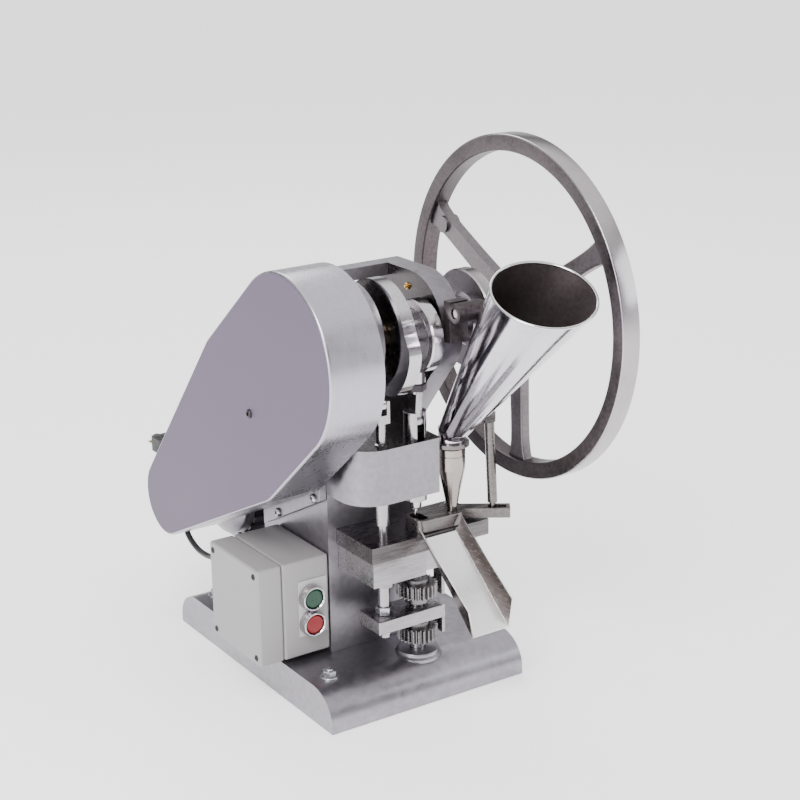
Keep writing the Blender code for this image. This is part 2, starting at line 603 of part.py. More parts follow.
def make_rocker():
    """A lever beside the feed cam carries the long rod that swings the feeder's arm."""
    bracket = block((24.5, -171.0, 388.0), (46.0, SHAFT_Y - 36.6, 430.0))
    lug = rod(10.0, (0, ROCKER_Y, ROCKER_Z), 24.5, 58.0, "X")
    boolean(bracket, lug, "UNION")
    boolean(bracket, rod(5.3, (0, ROCKER_Y, ROCKER_Z), 20.0, 100.0, "X"))
    part(bracket, "rocker_bracket", "silver_paint")
    part(rod(5.0, (0, ROCKER_Y, ROCKER_Z), 26.0, 100.0, "X"), "rocker_pin", "ground_steel")
    left, right = ROD_X - 2.5, ROD_X + 4.0
    plan = around([(ROCKER_Y, ROCKER_Z, 10.0), (*ROLLER_AT, 8.0), (*ROD_TOP, 8.0)], 20)
    lever = outline(plan, "YZ", left, right)
    boolean(lever, [rod(5.3, (0, ROCKER_Y, ROCKER_Z), 80.0, 110.0, "X"),
                    rod(3.3, (0, *ROLLER_AT), 80.0, 110.0, "X")])
    part(lever, "feed_rocker", "cast_iron")
    roller = [(0.0, right), (3.0, right), (3.0, left - GAP), (7.0, left - GAP), (7.0, 87.0), (0.0, 87.0)]
    part(turned(roller, (0, *ROLLER_AT), "X"), "rocker_roller", "polished_steel")
    top, tip = Vector((ROD_X, *ROD_TOP)), Vector((ROD_X, *ROD_TIP))
    along = (tip - top).normalized()
    bar = tube([top + along * 10.0, tip - along * 12.0], 5.2, 3)
    end = tube([tip - along * 13.0, tip], 3.2, 3)
    y, z = ROD_TOP
    cheek = block((left - 6.0, y - 7.0, z - 20.0), (left - GAP, y + 7.0, z + 7.0))
    foot = block((left - 6.0, y - 7.0, z - 20.0), (right, y + 7.0, z - 9.0))
    boolean(bar, [end, cheek, foot], "UNION")
    part(bar, "rocker_rod", "ground_steel")


def lean_axis(lean, turn):
    lean, turn = math.radians(lean), math.radians(turn)
    return Vector((math.sin(lean) * math.cos(turn), math.sin(lean) * math.sin(turn), math.cos(lean)))


def make_hopper():
    """A leaning sheet-metal cone with a tipped mouth, on a short upright spout."""
    axis = lean_axis(HOPPER_LEAN, HOPPER_TURN)
    foot = Vector((NECK_X, NECK_Y, HOPPER_BASE_Z))
    wall, low, high = 1.2, 14.6, 49.6
    slope = (high - low) / HOPPER_LENGTH
    length = 1.35 * HOPPER_LENGTH
    to_axis = axis.to_track_quat("Z", "Y").to_euler()
    shell = turned([(0.0, length), (low + slope * length, length), (low, 0.0), (0.0, 0.0)], foot, "Z", 32)
    inside = turned([(0.0, length + 5.0), (low - wall + slope * length, length + 5.0), (low - wall, -2.0),
                     (0.0, -2.0)], foot, "Z", 32)
    shell.rotation_euler = inside.rotation_euler = to_axis
    mouth = block((-200.0, -200.0, 0.0), (200.0, 200.0, 300.0))
    mouth.data.transform(Matrix.Translation((0, 0, 150.0 * MM)))
    mouth.location = (foot + axis * HOPPER_LENGTH) * MM
    mouth.rotation_euler = lean_axis(MOUTH_LEAN, MOUTH_TURN).to_track_quat("Z", "Y").to_euler()
    spout = rod(13.9, (NECK_X, NECK_Y, 0.0), 266.5, 289.0, sides=32)
    clear = rod(12.7, (NECK_X, NECK_Y, 0.0), 260.0, 286.0, sides=32)
    boolean(shell, spout, "UNION")
    part(boolean(shell, [inside, clear, mouth]), "hopper", "stainless")
    ring = [(18.5, 270.8), (18.5, 266.6), (14.3, 266.6), (14.3, 270.8)]
    bracket = turned(ring, (NECK_X, NECK_Y, 0.0))
    plate = block((BLOCK_RIGHT + GAP, NECK_Y - 4.0, 266.5), (BLOCK_RIGHT + 4.3, NECK_Y + 28.0, 279.0))
    part(boolean(bracket, plate, "UNION"), "hopper_bracket", "ground_steel")


def make_chute():
    """A folded sheet tray: sloping floor, flared sides, hooked on the table's front."""
    front, back, bottom, top = -236.0, TABLE_FRONT - 1.7, 101.0, TABLE_TOP - 3.0
    wall = 1.6
    sections = ((0.0, 7.4, 46.3, 14.0, 8.0), (0.5, 6.3, 47.6, 21.0, 6.0), (1.0, 5.0, 49.0, 29.0, 5.0))
    shape = bmesh.new()
    rows = []
    for share, left, right, rise, flare in sections:
        y = back + (front - back) * share
        z = top + (bottom - top) * share
        rows.append([shape.verts.new(Vector(p) * MM) for p in (
            (left - flare, y, z + rise), (left, y, z), (right, y, z), (right + flare, y, z + rise))])
    for upper, lower in zip(rows, rows[1:]):
        for a, b, c, d in zip(upper, upper[1:], lower[1:], lower):
            shape.faces.new((a, b, c, d))
    bmesh.ops.recalc_face_normals(shape, faces=shape.faces)
    mesh = bpy.data.meshes.new("chute")
    shape.to_mesh(mesh)
    shape.free()
    tray = bpy.data.objects.new("chute", mesh)
    bpy.context.scene.collection.objects.link(tray)
    solid = tray.modifiers.new("sheet", "SOLIDIFY")
    solid.thickness = wall * MM
    solid.offset = 0.0
    solid.use_even_offset = True
    part(tray, "chute", "stainless")


# ---- guard, belt, motor ---------------------------------------------------------------------------
def make_guard():
    """A drawn cover: flat face, deep rim, open towards the machine."""
    outer = around(GUARD_CIRCLES)
    inner = around([(y, z, r - 2.0) for y, z, r in GUARD_CIRCLES])
    guard = outline(outer, "YZ", GUARD_LEFT, GUARD_RIGHT)
    boolean(guard, outline(inner, "YZ", GUARD_LEFT + 2.0, GUARD_RIGHT + 5.0))
    part(guard, "belt_guard", "guard_paint")
    strip = [(44.0, 151.0), (-77.0, 214.5), (-77.0, 235.0), (44.0, 171.0)]
    bracket = outline(strip, "YZ", COLUMN_LEFT - 8.3, COLUMN_LEFT - GAP)
    foot = rod(7.0, (0, -56.0, 317.0), GUARD_LEFT + 2.3, COLUMN_LEFT - GAP, "X", 24)
    stay = outline([(-62.0, 317.0), (-50.0, 317.0), (-50.0, 212.0), (-62.0, 218.0)], "YZ",
                   COLUMN_LEFT - 8.0, COLUMN_LEFT - GAP)
    part(boolean(bracket, [foot, stay], "UNION"), "guard_bracket", "silver_paint")


def make_drive():
    """Belt round two pulleys; the motor hangs on a shelf behind the column."""
    depth = 8.6
    big, small = PULLEY_RADIUS - depth, MOTOR_PULLEY_RADIUS - depth + 1.0
    loops = [around([(SHAFT_Y, SHAFT_Z, big + grow), (MOTOR_Y, MOTOR_Z, small + grow)], 48)
             for grow in (7.0, 0.5)]
    part(outline(loops[0], "YZ", -115.0, -111.0, [loops[1]]), "drive_belt", "black_rubber")
    rim = MOTOR_PULLEY_RADIUS
    groove = [(0.0, -100.0), (rim, -100.0), (rim, -106.0), (small, -110.5), (small, -115.5), (rim, -120.0),
              (rim, -124.0), (0.0, -124.0)]
    pulley = turned(groove, (0, MOTOR_Y, MOTOR_Z), "X")
    boolean(pulley, rod(7.0, (0, MOTOR_Y, MOTOR_Z), -101.0, -78.3, "X"), "UNION")
    part(pulley, "motor_pulley", "cast_iron")
    fins = []
    for i in range(40):
        reach = MOTOR_RADIUS if i % 2 else MOTOR_RADIUS - 5.0
        for share in (0.04, 0.96):
            angle = math.tau * (i + share) / 40
            fins.append((MOTOR_Y + reach * math.cos(angle), MOTOR_Z + reach * math.sin(angle)))
    part(outline(fins, "YZ", -54.0, 62.0), "motor_body", "motor_paint")
    bell = [(9.0, -54.3), (MOTOR_RADIUS - 2.0, -54.3), (MOTOR_RADIUS - 2.0, -66.0), (44.0, -76.0),
            (9.0, -78.0)]
    part(turned(bell, (0, MOTOR_Y, MOTOR_Z), "X"), "motor_end_bell", "silver_paint")
    shelf = block((-44.0, COLUMN_BACK + 2.0, 84.0), (52.0, 205.0, 92.0))
    back = block((-46.0, COLUMN_BACK + GAP, 60.0), (39.0, COLUMN_BACK + 8.3, 190.0))
    saddle = block((-30.0, MOTOR_Y - 34.0, 88.0), (37.0, MOTOR_Y + 34.0, 122.0))
    cradle = rod(MOTOR_RADIUS + GAP, (0, MOTOR_Y, MOTOR_Z), -60.0, 70.0, "X", 40)
    boolean(shelf, [back, saddle], "UNION")
    part(boolean(shelf, cradle), "motor_bracket", "silver_paint")
    terminals = block((-75.0, MOTOR_Y + MOTOR_RADIUS - 4.0, 100.0), (5.0, 300.0, TERMINAL_TOP))
    hollow = rod(MOTOR_RADIUS + GAP, (0, MOTOR_Y, MOTOR_Z), -80.0, 10.0, "X", 40)
    part(boolean(terminals, hollow), "terminal_box", "motor_paint")


# ---- control box ----------------------------------------------------------------------------------------
def make_control_box():
    body = bevel(block((-121.7, BOX_FRONT, BOX_BOTTOM), (BOX_RIGHT, BOX_BACK, BOX_TOP)), 3.0, 2)
    cavity = block((-130.0, BOX_FRONT + 4.0, BOX_BOTTOM + 4.0), (BOX_RIGHT - 4.0, BOX_BACK - 4.0, BOX_TOP - 4.0))
    bores = [rod(11.2, (BUTTON_X, 0, z), BOX_FRONT - 10.0, BOX_FRONT + 10.0, "Y")
             for z in BUTTON_HEIGHTS.values()]
    inlet = rod(5.4, (-112.0, 0, 115.0), BOX_BACK - 8.0, BOX_BACK + 4.0, "Y", 24)
    part(boolean(body, [cavity, *bores, inlet]), "control_box", "box_plastic")
    lid = bevel(block((BOX_LEFT, BOX_FRONT, BOX_BOTTOM), (-122.0, BOX_BACK, BOX_TOP)), 3.0, 2)
    recess = block((BOX_LEFT + 4.0, BOX_FRONT + 4.0, BOX_BOTTOM + 4.0), (-110.0, BOX_BACK - 4.0, BOX_TOP - 4.0))
    part(boolean(lid, recess), "control_box_lid", "box_plastic")
    plate = block((-104.0, BOX_FRONT - 1.5, 70.0), (-70.0, BOX_FRONT - GAP, 132.0))
    holes = [rod(11.2, (BUTTON_X, 0, z), BOX_FRONT - 5.0, BOX_FRONT + 5.0, "Y")
             for z in BUTTON_HEIGHTS.values()]
    part(boolean(plate, holes), "button_plate", "box_plastic")
    face = BOX_FRONT - 1.5 - GAP
    for name, z in BUTTON_HEIGHTS.items():
        ring = [(10.8, -face), (10.8, -face + 9.0), (12.5, -face + 9.0), (14.5, -face + 5.0), (14.5, -face)]
        part(turned(ring, (BUTTON_X, 0, z), "-Y"), name + "_bezel", "polished_steel")
        cap = [(0.0, -face + 8.0), (9.0, -face + 8.0), (10.2, -face + 6.8), (10.2, -face - 9.0), (0.0, -face - 9.0)]
        colour = {"start": "green_plastic", "stop": "red_plastic"}[name]
        part(turned(cap, (BUTTON_X, 0, z), "-Y"), name + "_button", colour)


# ---- power cord --------------------------------------------------------------------------------------------
CORD_ROUTE = [(-112.0, 48.5, 115.0), (-112.0, 62.0, 113.5), (-112.0, 84.0, 106.0), (-111.5, 110.0, 98.5),
              (-110.5, 138.0, 98.0), (-108.0, 165.0, 106.0), (-101.5, 190.0, 122.0), (-92.5, 214.0, 141.0),
              (-86.5, 238.0, 153.5), (-84.4, COIL_Y, 156.7)]


def make_cord():
    """Lead from the control box, its spare length coiled on the terminal box, and its plug."""
    gland = [(10.5, 5.0), (10.5, 0.0), (3.6, 0.0), (3.6, 21.0), (5.0, 21.0), (8.0, 12.0), (8.0, 5.0)]
    fitting = turned(gland, (-112.0, BOX_BACK + GAP, 115.0), "Y", 24)
    part(fitting, "cord_gland", "black_rubber")
    part(tube(smooth_path(CORD_ROUTE, 4), CORD_RADIUS, 2), "power_cord", "black_rubber")
    low, high, half = TERMINAL_TOP + GAP, TERMINAL_TOP + GAP + 13.1, 9.8
    ring = [(COIL_RADIUS - half + 3.0, high), (COIL_RADIUS + half - 3.0, high), (COIL_RADIUS + half, high - 4.0),
            (COIL_RADIUS + half, low + 3.0), (COIL_RADIUS + half - 3.0, low), (COIL_RADIUS - half + 3.0, low),
            (COIL_RADIUS - half, low + 3.0), (COIL_RADIUS - half, high - 4.0)]
    part(turned(ring, (COIL_X, COIL_Y, 0.0), "Z", 32), "cord_coil", "black_rubber")
    bottom, face = high + GAP, PLUG_Y + PLUG_LENGTH
    plan = [(PLUG_X - 6.0, PLUG_Y), (PLUG_X + 6.0, PLUG_Y), (PLUG_X + 13.0, PLUG_Y + 12.0),
            (PLUG_X + 13.0, face), (PLUG_X - 13.0, face), (PLUG_X - 13.0, PLUG_Y + 12.0)]
    plug = outline(plan, "XY", bottom, bottom + 19.0)
    pins = [block((PLUG_X + x - 3.2, face - 2.0, bottom + z - 0.8), (PLUG_X + x + 3.2, face + 16.0, bottom + z + 0.8))
            for x, z in ((-7.0, 6.5), (7.0, 6.5), (0.0, 13.5))]
    boolean(plug, pins, "UNION")
    part(plug, "power_plug", "black_rubber")
    middle = bottom + 9.5
    lead = [(PLUG_X + 4.5, PLUG_Y - 24.8, middle - 5.9), (PLUG_X + 1.7, PLUG_Y - 19.5, middle - 3.6),
            (PLUG_X, PLUG_Y - 10.0, middle - 0.8), (PLUG_X, PLUG_Y - GAP, middle)]
    part(tube(smooth_path(lead, 3), CORD_RADIUS, 2), "power_lead", "black_rubber")


# ---- assembly ------------------------------------------------------------------------------------------------
make_base()
make_frame()
make_bushes()
make_table()
make_shaft()
make_handwheel()
make_strap()
make_ram()
make_lift()
make_gears()
make_feeder()
make_rocker()
make_hopper()
make_chute()
make_guard()
make_drive()
make_control_box()
make_cord()
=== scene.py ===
"""Looks of the single-punch tablet press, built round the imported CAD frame.

Lengths are millimetres in the frame's own axes: +X towards the handwheel, -Y
towards the operator, +Z up. Helpers turn them into metres.
"""

import json
import math

import bmesh
import bpy
from mathutils import Euler, Matrix, Vector


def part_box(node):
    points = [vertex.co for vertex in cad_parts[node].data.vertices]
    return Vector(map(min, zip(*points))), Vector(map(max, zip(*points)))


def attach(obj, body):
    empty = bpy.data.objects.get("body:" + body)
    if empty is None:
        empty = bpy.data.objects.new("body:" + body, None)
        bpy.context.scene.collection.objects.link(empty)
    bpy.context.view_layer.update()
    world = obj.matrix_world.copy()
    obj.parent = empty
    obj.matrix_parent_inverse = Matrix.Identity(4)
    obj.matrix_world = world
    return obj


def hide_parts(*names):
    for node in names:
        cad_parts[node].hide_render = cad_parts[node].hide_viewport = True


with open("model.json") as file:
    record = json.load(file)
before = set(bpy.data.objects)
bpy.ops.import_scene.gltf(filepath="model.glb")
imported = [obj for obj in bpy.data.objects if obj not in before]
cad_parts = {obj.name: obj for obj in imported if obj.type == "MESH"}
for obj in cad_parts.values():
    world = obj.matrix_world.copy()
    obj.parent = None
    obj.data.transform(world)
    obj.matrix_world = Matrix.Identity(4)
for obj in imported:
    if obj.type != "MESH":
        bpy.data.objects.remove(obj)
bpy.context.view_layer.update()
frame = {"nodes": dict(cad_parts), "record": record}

MM = 0.001
FINE = 96                       # sides of a large turned surface
SMALL = 40                      # sides of a small one


# ---- where things are, from the frame ------------------------------------------------
def box(node):
    """Lowest and highest corner of a CAD node, in millimetres."""
    low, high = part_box(node)
    return low / MM, high / MM


def middle(node):
    low, high = box(node)
    return (low + high) / 2


SHAFT = middle("main_shaft")
ECCENTRIC = middle("eccentric_sheave")
PUNCH = middle("upper_ram")
MOTOR = middle("motor_pulley")
NECK = middle("feeder_neck")


# ---- camera, at the photograph's viewing angle ---------------------------------------
CAMERA_AT = (-944.0, -1546.0, 880.0)
CAMERA_TURN, CAMERA_LIFT, CAMERA_ROLL = -33.2, 18.07, 0.89
LENS, SENSOR = 80.2, 36.0


def make_camera():
    data = bpy.data.cameras.new("camera")
    data.lens, data.sensor_width = LENS, SENSOR
    data.clip_start, data.clip_end = 0.05, 60.0
    camera = bpy.data.objects.new("camera", data)
    bpy.context.scene.collection.objects.link(camera)
    turn = Matrix.Rotation(math.radians(CAMERA_TURN), 4, "Z")
    lift = Matrix.Rotation(math.radians(90.0 - CAMERA_LIFT), 4, "X")
    roll = Matrix.Rotation(math.radians(-CAMERA_ROLL), 4, "Z")
    camera.matrix_world = Matrix.Translation(Vector(CAMERA_AT) * MM) @ turn @ lift @ roll
    bpy.context.scene.camera = camera


make_camera()


# ---- materials -----------------------------------------------------------------------
def surface(name, colour, roughness, metallic=0.0, fine=500.0, stretch=(1, 1, 1), relief=0.05,
            tone=0.08, blotch=22.0, spread=0.10, coat=0.0, brushed=0.0):
    """A shader whose colour, gloss and relief vary with two scales of noise.

    fine is the grain in cells per metre, stretched by stretch; blotch is the
    broad patchiness; tone and spread say how far colour and roughness wander.
    """
    material = bpy.data.materials.new(name)
    material.use_nodes = True
    tree = material.node_tree
    link = tree.links.new
    shader = tree.nodes["Principled BSDF"]
    shader.inputs["Metallic"].default_value = metallic
    shader.inputs["Coat Weight"].default_value = coat
    shader.inputs["Coat Roughness"].default_value = 0.15
    shader.inputs["Anisotropic"].default_value = brushed
    place = tree.nodes.new("ShaderNodeTexCoord")
    mapping = tree.nodes.new("ShaderNodeMapping")
    mapping.inputs["Scale"].default_value = stretch
    link(place.outputs["Object"], mapping.inputs["Vector"])
    grain = tree.nodes.new("ShaderNodeTexNoise")
    grain.inputs["Scale"].default_value = fine
    grain.inputs["Detail"].default_value = 5.0
    link(mapping.outputs["Vector"], grain.inputs["Vector"])
    patches = tree.nodes.new("ShaderNodeTexNoise")
    patches.inputs["Scale"].default_value = blotch
    patches.inputs["Detail"].default_value = 4.0
    link(place.outputs["Object"], patches.inputs["Vector"])
    both = tree.nodes.new("ShaderNodeMath")
    both.operation = "MULTIPLY_ADD"
    both.inputs[1].default_value = 0.5
    link(grain.outputs["Fac"], both.inputs[0])
    halve = tree.nodes.new("ShaderNodeMath")
    halve.operation = "MULTIPLY"
    halve.inputs[1].default_value = 0.5
    link(patches.outputs["Fac"], halve.inputs[0])
    link(halve.outputs["Value"], both.inputs[2])
    tint = tree.nodes.new("ShaderNodeValToRGB")
    tint.color_ramp.elements[0].position = 0.36
    tint.color_ramp.elements[1].position = 0.64
    tint.color_ramp.elements[0].color = (*[c * (1.0 - tone) for c in colour], 1.0)
    tint.color_ramp.elements[1].color = (*[min(1.0, c * (1.0 + tone)) for c in colour], 1.0)
    link(both.outputs["Value"], tint.inputs["Fac"])
    link(tint.outputs["Color"], shader.inputs["Base Color"])
    gloss = tree.nodes.new("ShaderNodeMapRange")
    gloss.inputs["From Min"].default_value = 0.3
    gloss.inputs["From Max"].default_value = 0.7
    gloss.inputs["To Min"].default_value = max(0.03, roughness - spread)
    gloss.inputs["To Max"].default_value = roughness + spread
    link(both.outputs["Value"], gloss.inputs["Value"])
    link(gloss.outputs["Result"], shader.inputs["Roughness"])
    bump = tree.nodes.new("ShaderNodeBump")
    bump.inputs["Strength"].default_value = relief
    bump.inputs["Distance"].default_value = 0.001
    link(grain.outputs["Fac"], bump.inputs["Height"])
    link(bump.outputs["Normal"], shader.inputs["Normal"])
    return material


ALONG_X, ALONG_Y, ALONG_Z = (0.08, 1, 1), (1, 0.08, 1), (1, 1, 0.08)

MATERIALS = {
    "base_paint": surface("base_paint", (0.30, 0.285, 0.315), 0.33, 0.95, 120.0, relief=0.03, tone=0.16,
                          blotch=9.0, spread=0.08, coat=0.15),
    "frame_paint": surface("frame_paint", (0.27, 0.255, 0.28), 0.35, 0.95, 150.0, relief=0.03, tone=0.16,
                           blotch=12.0, spread=0.08, coat=0.10),
    # bare machined metal made very dark: painted shade on the inner cheeks and a painted dark reflection on
    # the guide block's top
    "bare_metal_painted_shade": surface("bare_metal_painted_shade", (0.10, 0.09, 0.095), 0.28, 1.0, 300.0, relief=0.02, tone=0.25, blotch=25.0),
    "guard_face": surface("guard_face", (0.105, 0.080, 0.130), 0.48, 0.30, 400.0, relief=0.006, tone=0.03,
                          blotch=6.0, spread=0.04, coat=0.05),
    "guard_rim": surface("guard_rim", (0.44, 0.42, 0.47), 0.28, 0.95, 160.0, ALONG_Z, relief=0.003, tone=0.05,
                         blotch=14.0, spread=0.05),
    "ground": surface("ground", (0.33, 0.315, 0.33), 0.28, 1.0, 500.0, ALONG_X, relief=0.012, tone=0.22,
                      spread=0.10, brushed=0.4),
    "table_steel": surface("table_steel", (0.15, 0.14, 0.145), 0.26, 1.0, 400.0, ALONG_X, relief=0.012,
                           tone=0.30, spread=0.10),
    "gear_steel": surface("gear_steel", (0.20, 0.19, 0.195), 0.30, 1.0, 500.0, relief=0.02, tone=0.25),
    "ground_upright": surface("ground_upright", (0.40, 0.385, 0.40), 0.20, 1.0, 700.0, (1, 1, 6),
                              relief=0.008, tone=0.12, spread=0.06),
    "polished": surface("polished", (0.52, 0.50, 0.52), 0.13, 1.0, 500.0, relief=0.004, tone=0.12,
                        spread=0.06),
    "blackened": surface("blackened", (0.05, 0.045, 0.05), 0.36, 0.9, 400.0, relief=0.02, tone=0.25),
    "arm_steel": surface("arm_steel", (0.17, 0.155, 0.155), 0.27, 1.0, 400.0, ALONG_X, relief=0.01,
                         tone=0.28),
    "stainless": surface("stainless", (0.66, 0.63, 0.69), 0.13, 1.0, 400.0, (1, 1, 0.1), relief=0.003,
                         tone=0.08, blotch=16.0, spread=0.04),
    # the same stainless darkened as painted shade for the inside of the cone
    "stainless_painted_shade_inside": surface("stainless_painted_shade_inside", (0.14, 0.115, 0.115), 0.42, 0.85, 300.0, relief=0.01,
                                tone=0.16, blotch=14.0),
    "stainless_lip": surface("stainless_lip", (0.70, 0.69, 0.71), 0.14, 1.0, 500.0, relief=0.004, tone=0.05,
                             spread=0.05),
    "neck_steel": surface("neck_steel", (0.34, 0.30, 0.28), 0.18, 1.0, 700.0, (1, 1, 7), relief=0.006,
                          tone=0.18, spread=0.06),
    # lit and shaded copies of the chute's one sheet: a near-white painted-light copy for its floor and a dark
    # painted-shade copy for its walls
    "chute_floor_painted_light": surface("chute_floor_painted_light", (0.88, 0.87, 0.88), 0.24, 0.85, 400.0, ALONG_Y, relief=0.003,
                           tone=0.04, spread=0.04),
    "chute_wall_painted_shade": surface("chute_wall_painted_shade", (0.27, 0.24, 0.23), 0.24, 1.0, 400.0, ALONG_Y, relief=0.006,
                          tone=0.20),
    "cast": surface("cast", (0.095, 0.080, 0.084), 0.40, 0.9, 300.0, relief=0.08, tone=0.35, blotch=22.0,
                    spread=0.12),
    # a lighter copy of the wheel's cast iron, as painted light on the spoke faces
    "cast_spoke": surface("cast_spoke", (0.18, 0.16, 0.17), 0.38, 0.95, 300.0, relief=0.06, tone=0.25,
                          blotch=22.0, spread=0.10),
    "rim_machined": surface("rim_machined", (0.40, 0.375, 0.39), 0.21, 1.0, 600.0, (8, 1, 1), relief=0.006,
                            tone=0.16, spread=0.08),
    "bronze": surface("bronze", (0.10, 0.075, 0.04), 0.30, 1.0, 400.0, relief=0.01, tone=0.25),
    "brass": surface("brass", (0.62, 0.40, 0.13), 0.24, 1.0, 600.0, relief=0.004, tone=0.12),
    "zinc": surface("zinc", (0.52, 0.53, 0.55), 0.24, 1.0, 600.0, relief=0.008, tone=0.16),
    "plastic": surface("plastic", (0.30, 0.29, 0.29), 0.46, 0.0, 1400.0, relief=0.02, tone=0.03, blotch=10.0),
    "plate": surface("plate", (0.46, 0.455, 0.455), 0.38, 0.0, 900.0, relief=0.006, tone=0.03),
    "green": surface("green", (0.001, 0.045, 0.02), 0.34, 0.0, 900.0, relief=0.006, tone=0.12, coat=0.1),
    "red": surface("red", (0.22, 0.002, 0.006), 0.34, 0.0, 900.0, relief=0.006, tone=0.12, coat=0.1),
    "rubber": surface("rubber", (0.012, 0.012, 0.014), 0.42, 0.0, 1200.0, relief=0.02, tone=0.25),
    "belt": surface("belt", (0.02, 0.019, 0.018), 0.70, 0.0, 900.0, relief=0.05, tone=0.25),
    "motor": surface("motor", (0.07, 0.066, 0.075), 0.36, 0.6, 300.0, relief=0.03, tone=0.18, coat=0.2),
}


# ---- making pieces -------------------------------------------------------------------
def link_new(name, mesh):
    obj = bpy.data.objects.new(name, mesh)
    bpy.context.scene.collection.objects.link(obj)
    return obj


def freeze(obj):
    """Apply every modifier, weld what a curve's caps leave open, and face the skin outwards."""
    bpy.context.view_layer.update()
    depsgraph = bpy.context.evaluated_depsgraph_get()
    mesh = bpy.data.meshes.new_from_object(obj.evaluated_get(depsgraph))
    mesh.transform(obj.matrix_world)
    shape = bmesh.new()
    shape.from_mesh(mesh)
    bmesh.ops.remove_doubles(shape, verts=shape.verts, dist=0.000002)
    bmesh.ops.recalc_face_normals(shape, faces=shape.faces)
    if shape.calc_volume(signed=True) < 0.0:
        bmesh.ops.reverse_faces(shape, faces=shape.faces)
    shape.to_mesh(mesh)
    shape.free()
    name = obj.name
    bpy.data.objects.remove(obj, do_unlink=True)
    return link_new(name, mesh)


def combine(obj, tools, operation="DIFFERENCE"):
    """Boolean with tools that are used up."""
    tools = tools if isinstance(tools, (list, tuple)) else [tools]
    for tool in tools:
        modifier = obj.modifiers.new("boolean", "BOOLEAN")
        modifier.operation = operation
        modifier.solver = "EXACT"
        modifier.object = tool
    obj = freeze(obj)
    for tool in tools:
        bpy.data.objects.remove(tool, do_unlink=True)
    return obj


def round_edges(obj, width, segments=2, angle=40.0):
    modifier = obj.modifiers.new("round", "BEVEL")
    modifier.width = width * MM
    modifier.segments = segments
    modifier.limit_method = "ANGLE"
    modifier.angle_limit = math.radians(angle)
    modifier.use_clamp_overlap = True
    return freeze(obj)


def piece(obj, name, material, body, replaces=(), bevel=0.0, segments=2, smooth=38.0):
    """Finish a piece: rounded edges, shading, material, and the body it rides on."""
    obj = round_edges(obj, bevel, segments) if bevel else freeze(obj)
    obj.name = name
    obj.data.name = name
    obj.data.materials.clear()
    names = material if isinstance(material, (list, tuple)) else [material]
    for one in names:
        obj.data.materials.append(MATERIALS[one])
    obj.data.shade_smooth()
    obj.data.set_sharp_from_angle(angle=math.radians(smooth))
    even = obj.modifiers.new("even_normals", "WEIGHTED_NORMAL")
    even.keep_sharp = True
    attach(obj, body)
    if replaces:
        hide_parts(*([replaces] if isinstance(replaces, str) else replaces))
    return obj


TURN_TO_AXIS = {"X": (0.0, math.pi / 2, 0.0), "Y": (-math.pi / 2, 0.0, 0.0),
                "-Y": (math.pi / 2, 0.0, 0.0), "-X": (0.0, -math.pi / 2, 0.0), "Z": (0.0, 0.0, 0.0)}


def block(low, high):
    low, high = Vector(low) * MM, Vector(high) * MM
    bpy.ops.mesh.primitive_cube_add(size=1.0, location=(low + high) / 2)
    obj = bpy.context.object
    obj.scale = high - low
    return obj


def turned(profile, centre, axis="Z", sides=FINE, turn=None):
    """A turned solid from (radius, height) points, top to bottom down the outer side."""
    points = list(profile)
    ring = points[0][0] > 0.0 and points[-1][0] > 0.0
    mesh = bpy.data.meshes.new("turned")
    edges = [(i, i + 1) for i in range(len(points) - 1)]
    if ring:
        edges.append((len(points) - 1, 0))
    mesh.from_pydata([(r * MM, 0.0, h * MM) for r, h in points], edges, [])
    obj = link_new("turned", mesh)
    obj.location = Vector(centre) * MM
    obj.rotation_euler = turn or TURN_TO_AXIS[axis]
    screw = obj.modifiers.new("turn", "SCREW")
    screw.steps = sides
    screw.render_steps = sides
    screw.use_merge_vertices = True
    screw.merge_threshold = 0.000005
    return freeze(obj)


def rod(radius, centre, start, end, axis="Z", sides=FINE):
    """A round bar through centre, from start to end in the frame's own coordinate."""
    at = list(centre)
    at["XYZ".index(axis)] = 0.0
    top, bottom = max(start, end), min(start, end)
    return turned([(0.0, top), (radius, top), (radius, bottom), (0.0, bottom)], at, axis, sides)


OUTLINE_PLANES = {
    "XY": Matrix(((1, 0, 0), (0, 1, 0), (0, 0, 1))),
    "YZ": Matrix(((0, 0, 1), (1, 0, 0), (0, 1, 0))),
}


def outline(points, plane, start, end):
    """A flat outline given thickness between start and end."""
    curve = bpy.data.curves.new("outline", "CURVE")
    curve.dimensions = "2D"
    curve.fill_mode = "BOTH"
    curve.extrude = abs(end - start) / 2 * MM
    spline = curve.splines.new("POLY")
    spline.points.add(len(points) - 1)
    for point, (u, v) in zip(spline.points, points):
        point.co = (u * MM, v * MM, 0.0, 1.0)
    spline.use_cyclic_u = True
    obj = link_new("outline", curve)
    half_way = (start + end) / 2 * MM
    offset = {"XY": (0, 0, half_way), "YZ": (half_way, 0, 0)}[plane]
    obj.matrix_world = Matrix.Translation(offset) @ OUTLINE_PLANES[plane].to_4x4()
    return freeze(obj)


def arc(centre, radius, start, end, count):
    step = (end - start) / (count - 1)
    angles = [math.radians(start + step * i) for i in range(count)]
    return [(centre[0] + radius * math.cos(a), centre[1] + radius * math.sin(a)) for a in angles]


def hull(points):
    """Convex outline around points, anticlockwise."""
    points = sorted(set((round(x, 4), round(y, 4)) for x, y in points))

    def half(sequence):
        chain = []
        for p in sequence:
            while len(chain) > 1:
                (ax, ay), (bx, by) = chain[-2], chain[-1]
                if (bx - ax) * (p[1] - ay) - (by - ay) * (p[0] - ax) > 0:
                    break
                chain.pop()
            chain.append(p)
        return chain[:-1]

    return half(points) + half(reversed(points))


